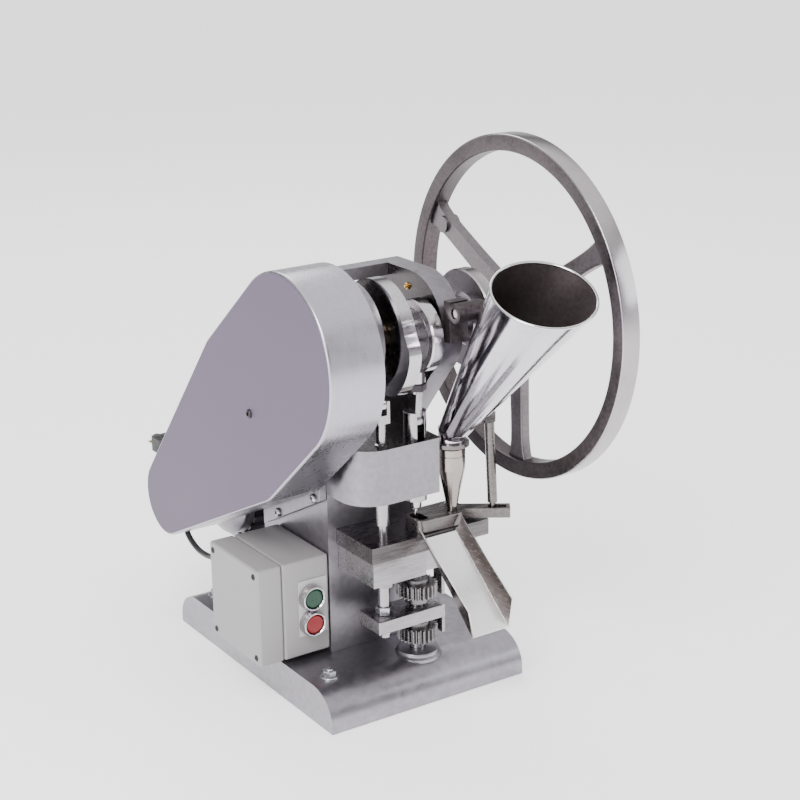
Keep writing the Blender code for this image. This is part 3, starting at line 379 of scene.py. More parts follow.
def lofted(loops, closed=False):
    """A skin over rings of points: closed joins the last ring to the first, else both ends are capped."""
    shape = bmesh.new()
    rings = [[shape.verts.new(Vector(at) * MM) for at in loop] for loop in loops]
    for one, two in zip(rings, rings[1:] + rings[:1] if closed else rings[1:]):
        for i in range(len(one)):
            j = (i + 1) % len(one)
            shape.faces.new((one[i], one[j], two[j], two[i]))
    if not closed:
        shape.faces.new(rings[0])
        shape.faces.new(rings[-1])
    mesh = bpy.data.meshes.new("lofted")
    shape.to_mesh(mesh)
    shape.free()
    return link_new("lofted", mesh)


def tube(points, radius, name="tube", sides_step=6):
    """A round wire along the points, kept as a curve of one spline."""
    curve = bpy.data.curves.new(name, "CURVE")
    curve.dimensions = "3D"
    curve.bevel_depth = radius * MM
    curve.bevel_resolution = sides_step
    curve.use_fill_caps = True
    spline = curve.splines.new("POLY")
    spline.points.add(len(points) - 1)
    for point, at in zip(spline.points, points):
        point.co = (*(Vector(at) * MM), 1.0)
    return link_new(name, curve)


def smooth_path(knots, per_span):
    """Catmull-Rom curve through knots."""
    knots = [Vector(k) for k in knots]
    ends = [2 * knots[0] - knots[1], *knots, 2 * knots[-1] - knots[-2]]
    path = []
    for i in range(1, len(ends) - 2):
        before, start, stop, after = ends[i - 1:i + 3]
        for j in range(per_span):
            t = j / per_span
            path.append(0.5 * ((2 * start) + (stop - before) * t
                               + (2 * before - 5 * start + 4 * stop - after) * t * t
                               + (3 * start - before - 3 * stop + after) * t ** 3))
    path.append(knots[-1])
    return path


def ease(value, start, end):
    """0 before start, 1 after end, smooth between."""
    t = min(max((value - start) / (end - start), 0.0), 1.0)
    return t * t * (3.0 - 2.0 * t)


# ---- power cord: down from the box, a coil on the terminal box, and its plug ---------
CORD_RADIUS = 3.25
CORD_ROUTE = [(-117.0, 54.5, 115.0), (-117.0, 68.0, 113.5), (-117.0, 90.0, 106.0), (-116.5, 116.0, 98.5),
              (-115.5, 144.0, 98.0), (-113.0, 171.0, 106.0), (-106.5, 196.0, 122.0), (-97.5, 220.0, 141.0),
              (-91.5, 244.0, 153.5), (-89.4, 270.0, 156.7)]
COIL_RADIUS = 36.0              # middle of the coil's turns
COIL_STEP, COIL_STEPS = 9.0, 190    # degrees between points, and how many steps
TURN_PITCH = 6.6                # between neighbouring turns of the coil
LAYER_RISE = 6.5                # from the lower layer to the upper


def coil_point(angle, centre, floor):
    """Where the lead is after that many degrees of coil: turns inwards, then over itself and out again."""
    outer = COIL_RADIUS + TURN_PITCH
    radius = outer + 6.8 * (1.0 - ease(angle, 0.0, 90.0))
    radius -= TURN_PITCH * (ease(angle, 230.0, 320.0) + ease(angle, 590.0, 680.0))
    radius += TURN_PITCH * (ease(angle, 1165.0, 1260.0) + ease(angle, 1525.0, 1620.0))
    height = floor + 3.15 * (1.0 - ease(angle, 0.0, 110.0)) + LAYER_RISE * ease(angle, 895.0, 1005.0)
    turn = math.radians(180.0 - angle)
    return Vector((centre.x + radius * math.cos(turn), centre.y + radius * math.sin(turn), height))


def make_cord():
    low, high = box("cord_coil")
    centre = (low + high) / 2
    plug_low, plug_high = box("power_plug")
    floor = low.z + CORD_RADIUS
    coil = [coil_point(COIL_STEP * i, centre, floor) for i in range(COIL_STEPS + 1)]
    plug_back = Vector(((plug_low.x + plug_high.x) / 2, plug_low.y, (plug_low.z + plug_high.z) / 2))
    lead = [coil[-1] + Vector(step) for step in [(0, 0, 0), (-11.0, 1.5, 0.35), (-21.3, 5.7, 2.15),
                                                 (-30.1, 12.5, 5.45), (-35.3, 21.1, 9.55)]]
    lead += [plug_back - Vector((0.0, 10.0, 0.8)), plug_back]
    path = smooth_path(CORD_ROUTE, 8)[:-1] + coil + smooth_path(lead, 6)[1:]
    cord = tube(path, CORD_RADIUS, "power_cord_lead")
    cord.data.materials.append(MATERIALS["rubber"])
    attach(cord, "machine")
    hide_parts("power_cord", "cord_coil", "power_lead")
    gland = make_gland()
    plug = make_plug(plug_low, plug_high)


def make_gland():
    """Ribbed strain relief screwed into the back of the box."""
    low, high = box("cord_gland")
    at = ((low.x + high.x) / 2, 0.0, (low.z + high.z) / 2)
    profile = [(3.7, high.y), (4.9, high.y)]
    y = high.y - 1.5
    for i in range(5):
        radius = 5.0 + 0.55 * i
        profile += [(radius, y), (radius, y - 1.6), (radius - 0.9, y - 1.8), (radius - 0.9, y - 2.4)]
        y -= 2.6
    profile += [(8.2, y), (8.2, low.y + 5.0), (10.5, low.y + 4.6), (10.5, low.y), (3.7, low.y)]
    return piece(turned(profile, at, "Y", SMALL), "cord_strain_relief", "rubber", "machine", "cord_gland")


def make_plug(low, high):
    """Moulded plug with a grooved grip and three flat pins."""
    x, z = (low.x + high.x) / 2, (low.z + high.z) / 2
    face = low.y + 36.0
    half = (high.z - low.z) / 2
    plan = [(x - 5.0, low.y), (x + 5.0, low.y), (x + 8.0, low.y + 6.0), (x + 13.0, low.y + 14.0),
            (x + 13.0, face), (x - 13.0, face), (x - 13.0, low.y + 14.0), (x - 8.0, low.y + 6.0)]
    body = outline(plan, "XY", low.z, high.z)
    grooves = [block((x - 20.0, low.y + 15.0 + 4.0 * i, high.z - 1.0),
                     (x + 20.0, low.y + 17.0 + 4.0 * i, high.z + 5.0)) for i in range(4)]
    body = combine(body, grooves)
    body = piece(body, "plug_body", "rubber", "machine", "power_plug", bevel=1.6, segments=3)
    pins = None
    for dx, dz in ((-7.0, -half + 6.5), (7.0, -half + 6.5), (0.0, -half + 13.5)):
        pin = block((x + dx - 3.2, face - 1.0, z + dz - 0.8), (x + dx + 3.2, high.y, z + dz + 0.8))
        pins = pin if pins is None else combine(pins, pin, "UNION")
    pins = piece(pins, "plug_pins", "brass", "machine", bevel=0.5)
    return body, pins


make_cord()


# ---- base and frame ------------------------------------------------------------------
def make_base():
    """Crowned casting with soft edges, a boss under the punch and a hollow underside."""
    low, high = box("base_casting")
    crown, toe, run = 41.0, 9.0, 37.0
    front = [(low.y + run - run * math.cos(a), toe + (crown - toe) * math.sin(a))
             for a in [math.radians(90.0 * i / 20) for i in range(21)]]
    back = [(low.y + high.y - y, z) for y, z in reversed(front)]
    base = outline([(low.y, 0.0)] + front + back + [(high.y, 0.0)], "YZ", low.x, high.x)
    recess = block((low.x + 12.0, low.y + 22.0, -5.0), (high.x - 12.0, high.y - 22.0, 29.0))
    base = round_edges(combine(base, recess), 2.2, 3, 50.0)
    boss = turned([(0.0, high.z), (20.5, high.z), (22.0, high.z - 0.6), (22.5, high.z - 2.0),
                   (22.8, crown + 1.0), (25.5, crown - 0.6), (25.5, crown - 4.0), (0.0, crown - 4.0)],
                  (PUNCH.x, PUNCH.y, 0.0))
    base = combine(base, boss, "UNION")
    base = combine(base, rod(8.4, PUNCH, -5.0, 60.0, sides=SMALL))
    piece(base, "base_body", "base_paint", "machine", "base_casting")


def refine(node, material, bevel=0.5, segments=2):
    """The CAD node's own solid with welded flats, rounded edges and a better surface."""
    mesh = frame["nodes"][node].data.copy()
    shape = bmesh.new()
    shape.from_mesh(mesh)
    bmesh.ops.remove_doubles(shape, verts=shape.verts, dist=0.000002)
    bmesh.ops.dissolve_limit(shape, angle_limit=math.radians(0.8), verts=shape.verts, edges=shape.edges)
    shape.to_mesh(mesh)
    shape.free()
    body = next(name for name, nodes in BODIES.items() if node in nodes)
    return piece(link_new(node, mesh), node + "_finished", material, body, node, bevel, segments)


BODIES = frame["record"]["behaviour"]["bodies"]

REFINED = {                     # node: material, width of the rounded edges
    "frame_casting": (["frame_paint", "bare_metal_painted_shade"], 2.0),
    "left_bush": ("bronze", 0.6),
    "right_bush": ("bronze", 0.6),
    "die_table": ("table_steel", 0.8),
    "table_holder": ("ground", 0.8),
    "die": ("polished", 0.3),
    "gear_lock_upper": ("ground", 0.5),
    "gear_lock_lower": ("ground", 0.5),
    "feeder_pivot_screw": ("polished", 0.3),
    "rocker_bracket": ("cast", 1.4),
    "rocker_pin": ("arm_steel", 0.7),
    "hopper_bracket": ("arm_steel", 0.5),
    "chute": (["chute_floor_painted_light", "chute_wall_painted_shade"], 0.25),
    "guard_bracket": ("frame_paint", 1.0),
    "drive_belt": ("belt", 0.6),
    "motor_body": ("motor", 0.7),
    "motor_bracket": ("frame_paint", 1.0),
    "terminal_box": ("motor", 1.8),
    "control_box": ("plastic", 0.8),
    "control_box_lid": ("plastic", 0.8),
    "button_plate": ("plate", 0.35),
    "main_shaft": ("ground_upright", 1.0),
    "eccentric_sheave": ("ground", 0.5),
    "drive_pulley": ("cast", 0.6),
    "connecting_rod": ("ground_upright", 0.5),
    "connecting_lock_nut": ("blackened", 0.6),
    "wrist_pin": ("polished", 0.3),
    "upper_ram": ("ground_upright", 0.7),
    "upper_punch": ("polished", 0.2),
    "lift_rod": ("ground_upright", 0.5),
    "lift_roller": ("polished", 0.4),
    "lift_plate": ("ground", 1.0),
    "lift_nut_upper": ("zinc", 0.6),
    "lift_nut_lower": ("zinc", 0.6),
    "lower_punch": ("ground_upright", 0.4),
    "feeder_boot": ("arm_steel", 0.8),
    "feed_rocker": ("cast", 1.0),
    "rocker_roller": ("polished", 0.4),
    "rocker_rod": ("arm_steel", 0.6),
    "motor_pulley": ("cast", 0.5),
}


# ---- shaft, cams, strap, handwheel ---------------------------------------------------
PUNCH_BLOCK_TOP = 280.0         # top of the frame's guide block


def second_surfaces(pieces):
    """The chute's side walls, and the frame's bare inner cheeks and guide-block top, given their darker
    painted-shade copies.
    """
    # sideways-facing walls take the painted-shade copy, the rest the painted-light copy
    for face in pieces["chute"].data.polygons:
        face.material_index = 1 if abs(face.normal.x) > 0.45 else 0
    left, right = box("left_bush")[1].x, box("right_bush")[0].x
    for face in pieces["frame_casting"].data.polygons:
        at = face.center / MM
        # inner cheeks and the block's top deck take the painted-shade dark copy
        inner = left - 2.0 < at.x < right + 2.0 and at.z > PUNCH_BLOCK_TOP and abs(face.normal.x) > 0.6
        deck = face.normal.z > 0.9 and abs(at.z - PUNCH_BLOCK_TOP) < 2.5
        face.material_index = 1 if inner or deck else 0


CAM_BASE, CAM_RISE = 57.0, 8.5
CAM_POINTS = 240
LOBE_MIDDLE, LOBE_HALF, LOBE_RAMP = 212.0, 22.0, 26.0     # degrees: top of the lobe and its flanks
SHAFT_BORE = 15.3


def make_turned_parts():
    """Discs and collars that show their round edge."""
    low, high = box("ejection_cam")
    points = []
    for i in range(CAM_POINTS):
        angle = 360.0 / CAM_POINTS * i
        away = abs((angle - LOBE_MIDDLE + 180.0) % 360.0 - 180.0)
        share = 0.5 + 0.5 * math.cos(math.pi * min(max(away - LOBE_HALF, 0.0) / LOBE_RAMP, 1.0))
        reach = CAM_BASE + CAM_RISE * share
        points.append((SHAFT.y + reach * math.cos(math.radians(angle)),
                       SHAFT.z + reach * math.sin(math.radians(angle))))
    cam = outline(points, "YZ", low.x, high.x)
    cam = combine(cam, rod(SHAFT_BORE, SHAFT, low.x - 5.0, high.x + 5.0, "X"))
    piece(cam, "ejection_cam_disc", "polished", "main_shaft", "ejection_cam", bevel=1.4,
          segments=3)
    low, high = box("feed_cam")
    at = (0.0, SHAFT.y, SHAFT.z)
    right, left = high.x, high.x - 14.5
    disc = [(SHAFT_BORE, right - 1.0), (34.0, right - 1.0), (36.0, right), (49.5, right), (51.0, right - 1.5),
            (51.0, left + 1.5), (49.5, left), (28.0, left), (24.5, left - 3.0), (24.0, low.x + 1.0),
            (23.0, low.x), (SHAFT_BORE, low.x)]
    piece(turned(disc, at, "X"), "feed_cam_disc", "rim_machined", "main_shaft", "feed_cam")
    at = (0.0, ECCENTRIC.y, ECCENTRIC.z)
    left, right = PUNCH.x - 7.0, PUNCH.x + 7.0
    ring = [(29.1, right), (36.0, right), (37.5, right - 1.5), (37.5, left + 1.5), (36.0, left), (29.1, left)]
    strap = turned(ring, at, "X")
    tilt = Euler((math.atan2(8.0, 91.0), 0.0, 0.0))
    neck = turned([(0.0, -35.5), (9.0, -35.5), (9.5, -38.0), (9.5, -49.0), (8.5, -50.0), (0.0, -50.0)],
                  (PUNCH.x, ECCENTRIC.y, ECCENTRIC.z), sides=SMALL, turn=tilt)
    strap = combine(strap, neck, "UNION")
    bore = turned([(0.0, -36.5), (7.0, -36.5), (7.0, -60.0), (0.0, -60.0)],
                  (PUNCH.x, ECCENTRIC.y, ECCENTRIC.z), sides=SMALL, turn=tilt)
    piece(combine(strap, bore), "eccentric_strap_ring", "polished", "strap", "eccentric_strap")
    low, high = box("motor_end_bell")
    bell = [(9.0, high.x), (58.0, high.x), (58.0, high.x - 9.0), (56.5, high.x - 12.5), (45.0, low.x + 2.5),
            (42.0, low.x + 1.4), (26.0, low.x + 1.0), (24.0, low.x), (9.0, low.x)]
    piece(turned(bell, (0.0, MOTOR.y, MOTOR.z), "X"), "motor_bell", "frame_paint", "machine",
          "motor_end_bell")


SPOKE_ANGLES = (28.0, 148.0, 268.0)
SPOKE_STEPS, SPOKE_ROOT = 14, 22.0
RIM_DEPTH, RIM_WIDTH = 17.5, 22.0
HANDLE_BOSS_REACH = 142.0


def make_handwheel():
    """Cast wheel: bright machined rim, dark hub and tapering spokes with soft edges, the spokes lighter as
    painted light.
    """
    low, high = box("handwheel")
    at = (0.0, SHAFT.y, SHAFT.z)
    outer = (high.z - low.z) / 2
    inner, right = outer - RIM_DEPTH, high.x - 1.0
    left = right - RIM_WIDTH
    rim = [(inner, right - 2.0), (inner + 1.6, right - 0.3), (outer - 1.6, right), (outer, right - 1.6),
           (outer, left + 1.6), (outer - 1.6, left), (inner + 1.6, left + 0.3), (inner, left + 2.0)]
    rim = piece(turned(rim, at, "X", 192), "wheel_rim", ["rim_machined", "cast"], "main_shaft", "handwheel",
                smooth=50.0)
    for face in rim.data.polygons:
        centre = face.center / MM
        reach = math.hypot(centre.y - SHAFT.y, centre.z - SHAFT.z)
        face.material_index = 0 if reach > outer - 1.9 else 1
    hub_right = right + 1.0
    hub = [(SHAFT_BORE, hub_right), (25.0, hub_right), (28.0, hub_right - 1.0), (29.0, hub_right - 3.0),
           (29.0, hub_right - 26.0), (28.0, hub_right - 30.0), (25.5, low.x + 3.0), (24.0, low.x),
           (SHAFT_BORE, low.x)]
    piece(turned(hub, at, "X"), "wheel_hub", "cast", "main_shaft")
    for number, angle in enumerate(SPOKE_ANGLES):
        c, s = math.cos(math.radians(angle)), math.sin(math.radians(angle))
        edge = []
        for i in range(SPOKE_STEPS + 1):
            share = i / SPOKE_STEPS
            reach = SPOKE_ROOT + (inner + 3.0 - SPOKE_ROOT) * share
            flare = 5.0 * math.exp(-share * 9.0) + 7.0 * math.exp(-(1.0 - share) * 12.0)
            edge.append((reach, 11.0 - 2.5 * share + flare))
        flat = edge + [(u, -v) for u, v in reversed(edge)]
        plan = [(SHAFT.y + u * c - v * s, SHAFT.z + u * s + v * c) for u, v in flat]
        spoke = outline(plan, "YZ", right - 17.0, right - 5.0)
        if number == 0:
            boss_at = (0.0, SHAFT.y + HANDLE_BOSS_REACH * c, SHAFT.z + HANDLE_BOSS_REACH * s)
            boss = rod(9.0, boss_at, right - 20.0, right - 2.0, "X", SMALL)
            spoke = combine(spoke, boss, "UNION")
        piece(spoke, "wheel_spoke_%d" % (number + 1), "cast_spoke", "main_shaft",
              bevel=2.2, segments=3)
    end = box("main_shaft")[1].x
    cap = [(0.0, end - 0.4), (11.0, end - 0.4), (12.0, end - 1.2), (12.0, hub_right + 0.2),
           (0.0, hub_right + 0.2)]
    screw_head = combine(turned(cap, at, "X", SMALL), rod(5.0, at, end - 3.0, end + 3.0, "X", 6))
    piece(screw_head, "wheel_end_cap", "zinc", "main_shaft")


# ---- hopper, neck, feeder ------------------------------------------------------------
HOPPER_LEAN, HOPPER_TURN, MOUTH_LEAN, MOUTH_TURN = 37.4, -84.0, 25.3, -107.0
HOPPER_LENGTH, HOPPER_LOW, HOPPER_HIGH, HOPPER_WALL = 216.0, 14.6, 49.6, 1.2
SPOUT_LENGTH = 13.5
CONE_SIDES = 144


def lean_axis(lean, turn):
    lean, turn = math.radians(lean), math.radians(turn)
    return Vector((math.sin(lean) * math.cos(turn), math.sin(lean) * math.sin(turn), math.cos(lean)))


def make_hopper():
    """Leaning cone of brushed sheet, its inside darkened as painted shade, with a bright rolled lip."""
    axis = lean_axis(HOPPER_LEAN, HOPPER_TURN)
    foot = Vector((NECK.x, NECK.y, box("hopper")[0].z + SPOUT_LENGTH))
    slope = (HOPPER_HIGH - HOPPER_LOW) / HOPPER_LENGTH
    side = axis.orthogonal().normalized()
    other = axis.cross(side)
    mouth, upward = foot + axis * HOPPER_LENGTH, lean_axis(MOUTH_LEAN, MOUTH_TURN)

    def cone_rings(radius):
        """Where a cone of that radius at the foot starts, and where it meets the mouth's plane."""
        low, high = [], []
        for i in range(CONE_SIDES):
            angle = math.tau * i / CONE_SIDES
            out = side * math.cos(angle) + other * math.sin(angle)
            start, line = foot + out * radius, axis + out * slope
            low.append(start)
            high.append(start + line * ((mouth - start).dot(upward) / line.dot(upward)))
        return low, high

    outer_low, outer_high = cone_rings(HOPPER_LOW)
    inner_low, inner_high = cone_rings(HOPPER_LOW - HOPPER_WALL)
    shell = piece(lofted([outer_low, outer_high, inner_high, inner_low], closed=True), "hopper_cone",
                  ["stainless", "stainless_painted_shade_inside"], "machine", "hopper", smooth=50.0)
    # inward-facing faces take the painted-shade dark copy of the steel
    for face in shell.data.polygons:
        away = face.center / MM - foot
        inward = face.normal.dot(away - axis * away.dot(axis)) < 0.0
        face.material_index = 1 if inward else 0
    spout = [(12.7, 6.0), (13.9, 6.0), (13.9, 0.6 - SPOUT_LENGTH), (13.5, -SPOUT_LENGTH),
             (12.7, -SPOUT_LENGTH)]
    piece(turned(spout, foot), "hopper_spout", "stainless", "machine", smooth=50.0)
    lip = tube(cone_rings(HOPPER_LOW - HOPPER_WALL / 2)[1], 1.5, "hopper_lip")
    lip.data.splines[0].use_cyclic_u = True
    lip.data.use_fill_caps = False
    piece(lip, "hopper_lip", "stainless_lip", "machine", smooth=80.0)
    seam_out = -(axis.cross(Vector((1, 0, 0)))).normalized()
    start = foot + seam_out * (HOPPER_LOW + 0.1) + axis * 3.0
    end = start + (axis + seam_out * slope) * (HOPPER_LENGTH - 26.0)
    piece(tube([start, start.lerp(end, 0.5), end], 0.45, "hopper_seam", 2), "hopper_seam", "stainless",
          "machine", smooth=80.0)


def make_neck():
    low, high = box("feeder_neck")
    top, cone, foot = high.z, high.z - 22.5, high.z - 67.5
    profile = [(13.6, top), (14.2, top - 0.6), (14.2, top - 7.0), (13.7, top - 7.4), (13.7, top - 8.4),
               (14.2, top - 8.8), (14.2, cone), (13.9, cone - 1.2), (5.3, foot), (5.3, low.z), (4.2, low.z),
               (4.2, foot + 0.3), (12.9, cone - 0.6), (13.0, cone), (13.0, top)]
    piece(turned(profile, (NECK.x, NECK.y, 0.0)), "neck_tube", "neck_steel", "feeder", "feeder_neck",
          smooth=24.0)


# ---- gears ---------------------------------------------------------------------------
TEETH, TOOTH_TIP, TOOTH_ROOT = 24, 21.6, 18.0


def make_gears():
    """Adjusting collars with real teeth, a chamfered rim and a threaded bore."""
    plan = []
    flank = TOOTH_ROOT + 0.6
    for i in range(TEETH):
        for share, reach in ((-0.40, TOOTH_ROOT), (-0.30, flank), (-0.14, TOOTH_TIP), (0.14, TOOTH_TIP),
                             (0.30, flank), (0.40, TOOTH_ROOT)):
            angle = math.tau * (i + share) / TEETH
            plan.append((PUNCH.x + reach * math.cos(angle), PUNCH.y + reach * math.sin(angle)))
    for node, low_step, high_step in (("adjusting_gear_upper", 8.5, 5.5), ("adjusting_gear_lower", 4.0, 6.0)):
        low, high = box(node)
        gear = round_edges(outline(plan, "XY", low.z + low_step, high.z - high_step), 0.7, 2, 60.0)
        hub = turned([(0.0, high.z), (12.0, high.z), (13.0, high.z - 1.0), (13.0, low.z + 1.0), (12.0, low.z),
                      (0.0, low.z)], (PUNCH.x, PUNCH.y, 0.0), sides=SMALL)
        gear = combine(gear, hub, "UNION")
        gear = combine(gear, rod(8.3, PUNCH, low.z - 5.0, high.z + 5.0, sides=SMALL))
        body = "upper_gear" if node.endswith("upper") else "lower_gear"
        piece(gear, node + "_toothed", "gear_steel", body, node)
    make_threads()


THREAD_RADIUS, THREAD_PITCH, THREAD_SIDES = 8.0, 1.5, 24


def make_threads():
    """A few turns of thread on the lower punch's shank, between the plate and the gears."""
    turns = [(PUNCH.x + THREAD_RADIUS * math.cos(a), PUNCH.y + THREAD_RADIUS * math.sin(a)) for a in
             [math.tau * i / THREAD_SIDES for i in range(THREAD_SIDES)]]
    for number, (start, rounds) in enumerate(((47.5, 3), (box("lift_plate")[1].z + 0.9, 1))):
        path = [Vector((*turns[i % THREAD_SIDES], start + THREAD_PITCH * i / THREAD_SIDES))
                for i in range(THREAD_SIDES * rounds)]
        piece(tube(path, 0.45, "thread", 1), "punch_thread_%d" % (number + 1), "ground_upright", "lift",
              smooth=80.0)


# ---- belt guard ----------------------------------------------------------------------
GUARD_WALL, GUARD_ROUND = 2.0, 3.2
ROUND_STEPS = 5


def make_guard():
    """Drawn sheet cover: flat satin face, bright rolled rim, open at the back."""
    low, high = box("belt_guard")
    circles = ((SHAFT.y, SHAFT.z - 12.0, 91.0), (SHAFT.y + 116.0, SHAFT.z - 64.0, 57.0),
               (MOTOR.y, MOTOR.z, 43.0), (SHAFT.y + 69.0, SHAFT.z - 113.0, 60.0))
    edge = hull([p for u, v, r in circles for p in arc((u, v), r, 0.0, 360.0, 181)])
    count = len(edge)
    normals = []
    for i in range(count):
        (ax, ay), (bx, by) = edge[i - 1], edge[(i + 1) % count]
        length = math.hypot(bx - ax, by - ay)
        normals.append(((by - ay) / length, -(bx - ax) / length))
    rings = [(low.x + GUARD_WALL, GUARD_ROUND + 2.0), (low.x + GUARD_WALL + 3.0, GUARD_WALL),
             (high.x, GUARD_WALL), (high.x, 0.0), (low.x + GUARD_ROUND, 0.0)]
    for i in range(1, ROUND_STEPS + 1):
        turn = math.radians(90.0 / ROUND_STEPS * i)
        rings.append((low.x + GUARD_ROUND * (1.0 - math.sin(turn)), GUARD_ROUND * (1.0 - math.cos(turn))))
    loops = [[(x, u - nu * inset, v - nv * inset) for (u, v), (nu, nv) in zip(edge, normals)]
             for x, inset in rings]
    guard = piece(lofted(loops), "guard_cover", ["guard_face", "guard_rim"], "machine", "belt_guard",
                  smooth=30.0)
    for face in guard.data.polygons:
        face.material_index = 0 if face.normal.x < -0.9 else 1
    screw_at = (0.0, SHAFT.y + 68.0, SHAFT.z - 79.0)
    socket_screw("guard_screw", (low.x, screw_at[1], screw_at[2]), "-X", 4.6, 2.6, "blackened")


# ---- fasteners -----------------------------------------------------------------------
def socket_screw(name, at, axis, radius, height, material):
    """Button-headed screw with a six-sided socket."""
    head = turned([(0.0, height), (0.55 * radius, height), (0.85 * radius, 0.82 * height),
                   (radius, 0.45 * height), (radius, -0.4), (0.0, -0.4)], at, axis, SMALL)
    socket = turned([(0.0, height + 2.0), (0.5 * radius, height + 2.0), (0.5 * radius, 0.25 * height),
                     (0.0, 0.25 * height)], at, axis, 6)
    piece(combine(head, socket), name, material, "machine", smooth=30.0)


BOLT_RADIUS, BOLT_HEIGHT = 7.5, 6.0


def hex_bolt(name, at):
    """Zinc-plated bolt head over a washer, standing on +Z."""
    radius, height = BOLT_RADIUS, BOLT_HEIGHT
    head = turned([(0.0, height + 1.6), (0.86 * radius, height + 1.6), (radius, height + 0.9), (radius, 1.5),
                   (0.0, 1.5)], at, "Z", 6)
    collar = turned([(0.0, 1.8), (9.4, 1.8), (10.0, 1.2), (10.0, -0.3), (0.0, -0.3)], at, "Z", SMALL)
    stud = turned([(0.0, height + 3.4), (3.4, height + 3.4), (4.0, height + 2.8), (4.0, height + 1.0),
                   (0.0, height + 1.0)], at, "Z", SMALL)
    bolt = combine(combine(head, collar, "UNION"), stud, "UNION")
    piece(bolt, name, "zinc", "machine", smooth=30.0)


def make_fasteners():
    low, high = box("base_casting")
    for i, x in enumerate((low.x + 24.0, high.x - 24.0)):
        for j, y in enumerate((low.y + 43.0, high.y - 43.0)):
            hex_bolt("base_bolt_%d%d" % (i + 1, j + 1), (x, y, 41.0))
    low, high = box("control_box_lid")
    for i, y in enumerate((low.y + 8.5, high.y - 8.5)):
        for j, z in enumerate((low.z + 8.5, high.z - 8.5)):
            socket_screw("lid_screw_%d%d" % (i + 1, j + 1), (low.x, y, z), "-X", 3.4, 1.0, "blackened")
    face = box("frame_casting")[0].x - 8.3
    for number, (y, z) in enumerate(((16.6, 174.5), (-59.7, 214.5))):
        socket_screw("bracket_screw_%d" % (number + 1), (face, y, z), "-X", 5.0, 3.4, "zinc")
    cheek = box("right_bush")
    nipple_at = (cheek[0].x - 0.2, SHAFT.y + 26.0, SHAFT.z + 36.0)
    nipple = turned([(0.0, 3.6), (1.4, 3.6), (2.3, 2.8), (1.5, 2.0), (1.5, 1.4), (3.6, 1.1), (3.6, -0.3),
                     (0.0, -0.3)], nipple_at, "-X", 24)
    piece(nipple, "oil_nipple", "brass", "machine", smooth=30.0)
    low, high = box("terminal_box")
    for i, x in enumerate((low.x + 8.0, high.x - 8.0)):
        socket_screw("terminal_screw_%d" % (i + 1), (x, high.y, 125.0), "Y", 3.2, 1.4, "zinc")


# ---- buttons -------------------------------------------------------------------------
def make_buttons():
    for name, colour, slot in (("start", "green", "green_plastic"), ("stop", "red", "red_plastic")):
        low, high = box(name + "_bezel")
        at = ((low.x + high.x) / 2, 0.0, (low.z + high.z) / 2)
        back, front = -high.y, -low.y
        ring = [(10.8, front - 1.0), (11.6, front), (12.3, front), (12.9, front - 0.5), (14.2, back + 4.6),
                (14.5, back + 3.4), (14.5, back), (10.8, back)]
        piece(turned(ring, at, "-Y"), name + "_bezel_ring", "polished", "machine", name + "_bezel",
              smooth=30.0)
        low, high = box(name + "_button")
        front = -low.y
        cap = [(0.0, front - 0.7), (5.0, front - 0.45), (8.0, front), (9.4, front - 0.2), (10.2, front - 1.2),
               (10.2, -high.y), (0.0, -high.y)]
        piece(turned(cap, at, "-Y"), name + "_button_cap", colour, name + "_button", name + "_button",
              smooth=50.0)


# ---- stage: floor and lights ---------------------------------------------------------
SKY_STRENGTH = 1.6
FLOOR_GLOW = 0.8
LAMP_AIM = Vector((0.0, 0.0, 0.25))     # metres, like the lamps' places
LAMPS = [                       # name, place, size, watts, colour
    ("key", (-1.5, -1.3, 2.2), 1.1, 62.0, (1.0, 0.99, 0.98)),
    ("left", (-2.0, -0.9, 0.8), 0.9, 20.0, (0.98, 0.97, 1.0)),
    ("fill", (2.0, -1.9, 1.2), 1.2, 16.0, (0.97, 0.98, 1.0)),
    ("back", (0.6, 2.0, 2.2), 1.4, 26.0, (1.0, 1.0, 1.0)),
]


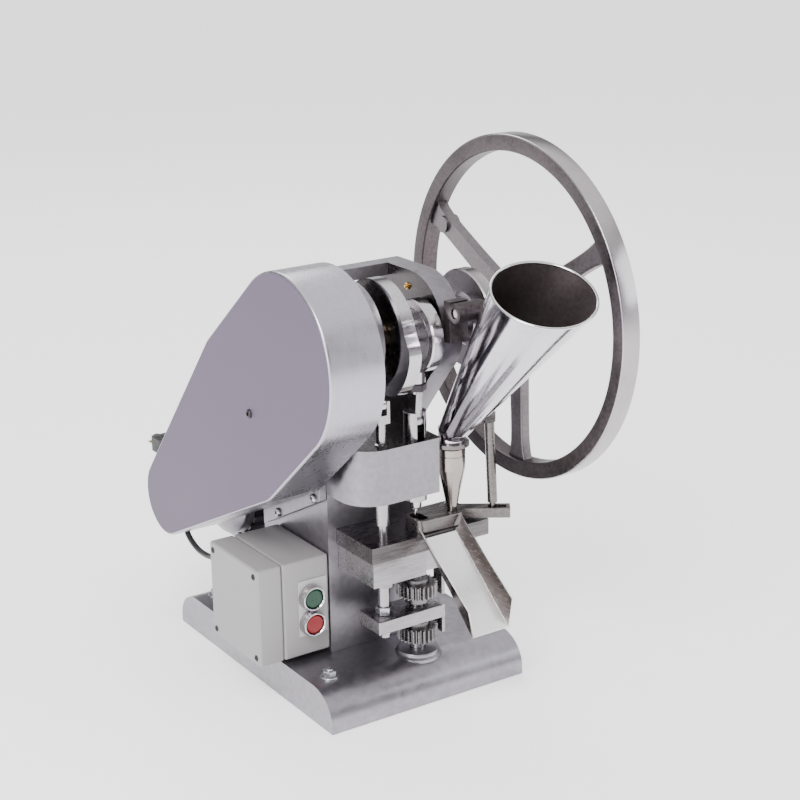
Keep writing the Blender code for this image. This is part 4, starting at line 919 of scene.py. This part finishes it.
def make_stage():
    """Pale floor, a sky that is bright overhead, dim lower down and pale below, and four soft boxes."""
    bpy.ops.mesh.primitive_circle_add(vertices=96, radius=14.0, fill_type="NGON",
                                      location=(0.0, 0.0, -0.0006))
    floor = bpy.context.object
    floor.name = "floor"
    floor.data.materials.append(surface("floor_pale", (0.95, 0.95, 0.95), 0.6, 0.0, 60.0, relief=0.0,
                                        tone=0.008))
    glow = floor.data.materials[0].node_tree.nodes["Principled BSDF"]
    glow.inputs["Emission Color"].default_value = (1.0, 1.0, 1.0, 1.0)
    glow.inputs["Emission Strength"].default_value = FLOOR_GLOW
    world = bpy.data.worlds.new("studio")
    bpy.context.scene.world = world
    world.use_nodes = True
    tree = world.node_tree
    sky = tree.nodes["Background"]
    sky.inputs["Strength"].default_value = SKY_STRENGTH
    place = tree.nodes.new("ShaderNodeTexCoord")
    split = tree.nodes.new("ShaderNodeSeparateXYZ")
    ramp = tree.nodes.new("ShaderNodeValToRGB")
    tree.links.new(place.outputs["Generated"], split.inputs["Vector"])
    tree.links.new(split.outputs["Z"], ramp.inputs["Fac"])
    stops = ramp.color_ramp.elements
    stops[0].position, stops[0].color = 0.21, (0.50, 0.50, 0.51, 1.0)
    stops[1].position, stops[1].color = 0.72, (1.0, 1.0, 1.0, 1.0)
    for height, level in ((0.32, 0.09), (0.42, 0.14)):
        stops.new(height).color = (level, 0.96 * level, level, 1.0)
    tree.links.new(ramp.outputs["Color"], sky.inputs["Color"])
    for name, at, size, power, colour in LAMPS:
        data = bpy.data.lights.new(name, "AREA")
        data.size = size
        data.energy = power
        data.color = colour
        lamp = bpy.data.objects.new(name, data)
        lamp.location = at
        lamp.rotation_euler = (LAMP_AIM - Vector(at)).to_track_quat("-Z", "Y").to_euler()
        bpy.context.scene.collection.objects.link(lamp)


make_base()
second_surfaces({node_name: refine(node_name, material_name, edge_width)
                 for node_name, (material_name, edge_width) in REFINED.items()})
make_turned_parts()
make_handwheel()
make_hopper()
make_neck()
make_gears()
make_guard()
make_fasteners()
make_buttons()
make_stage()
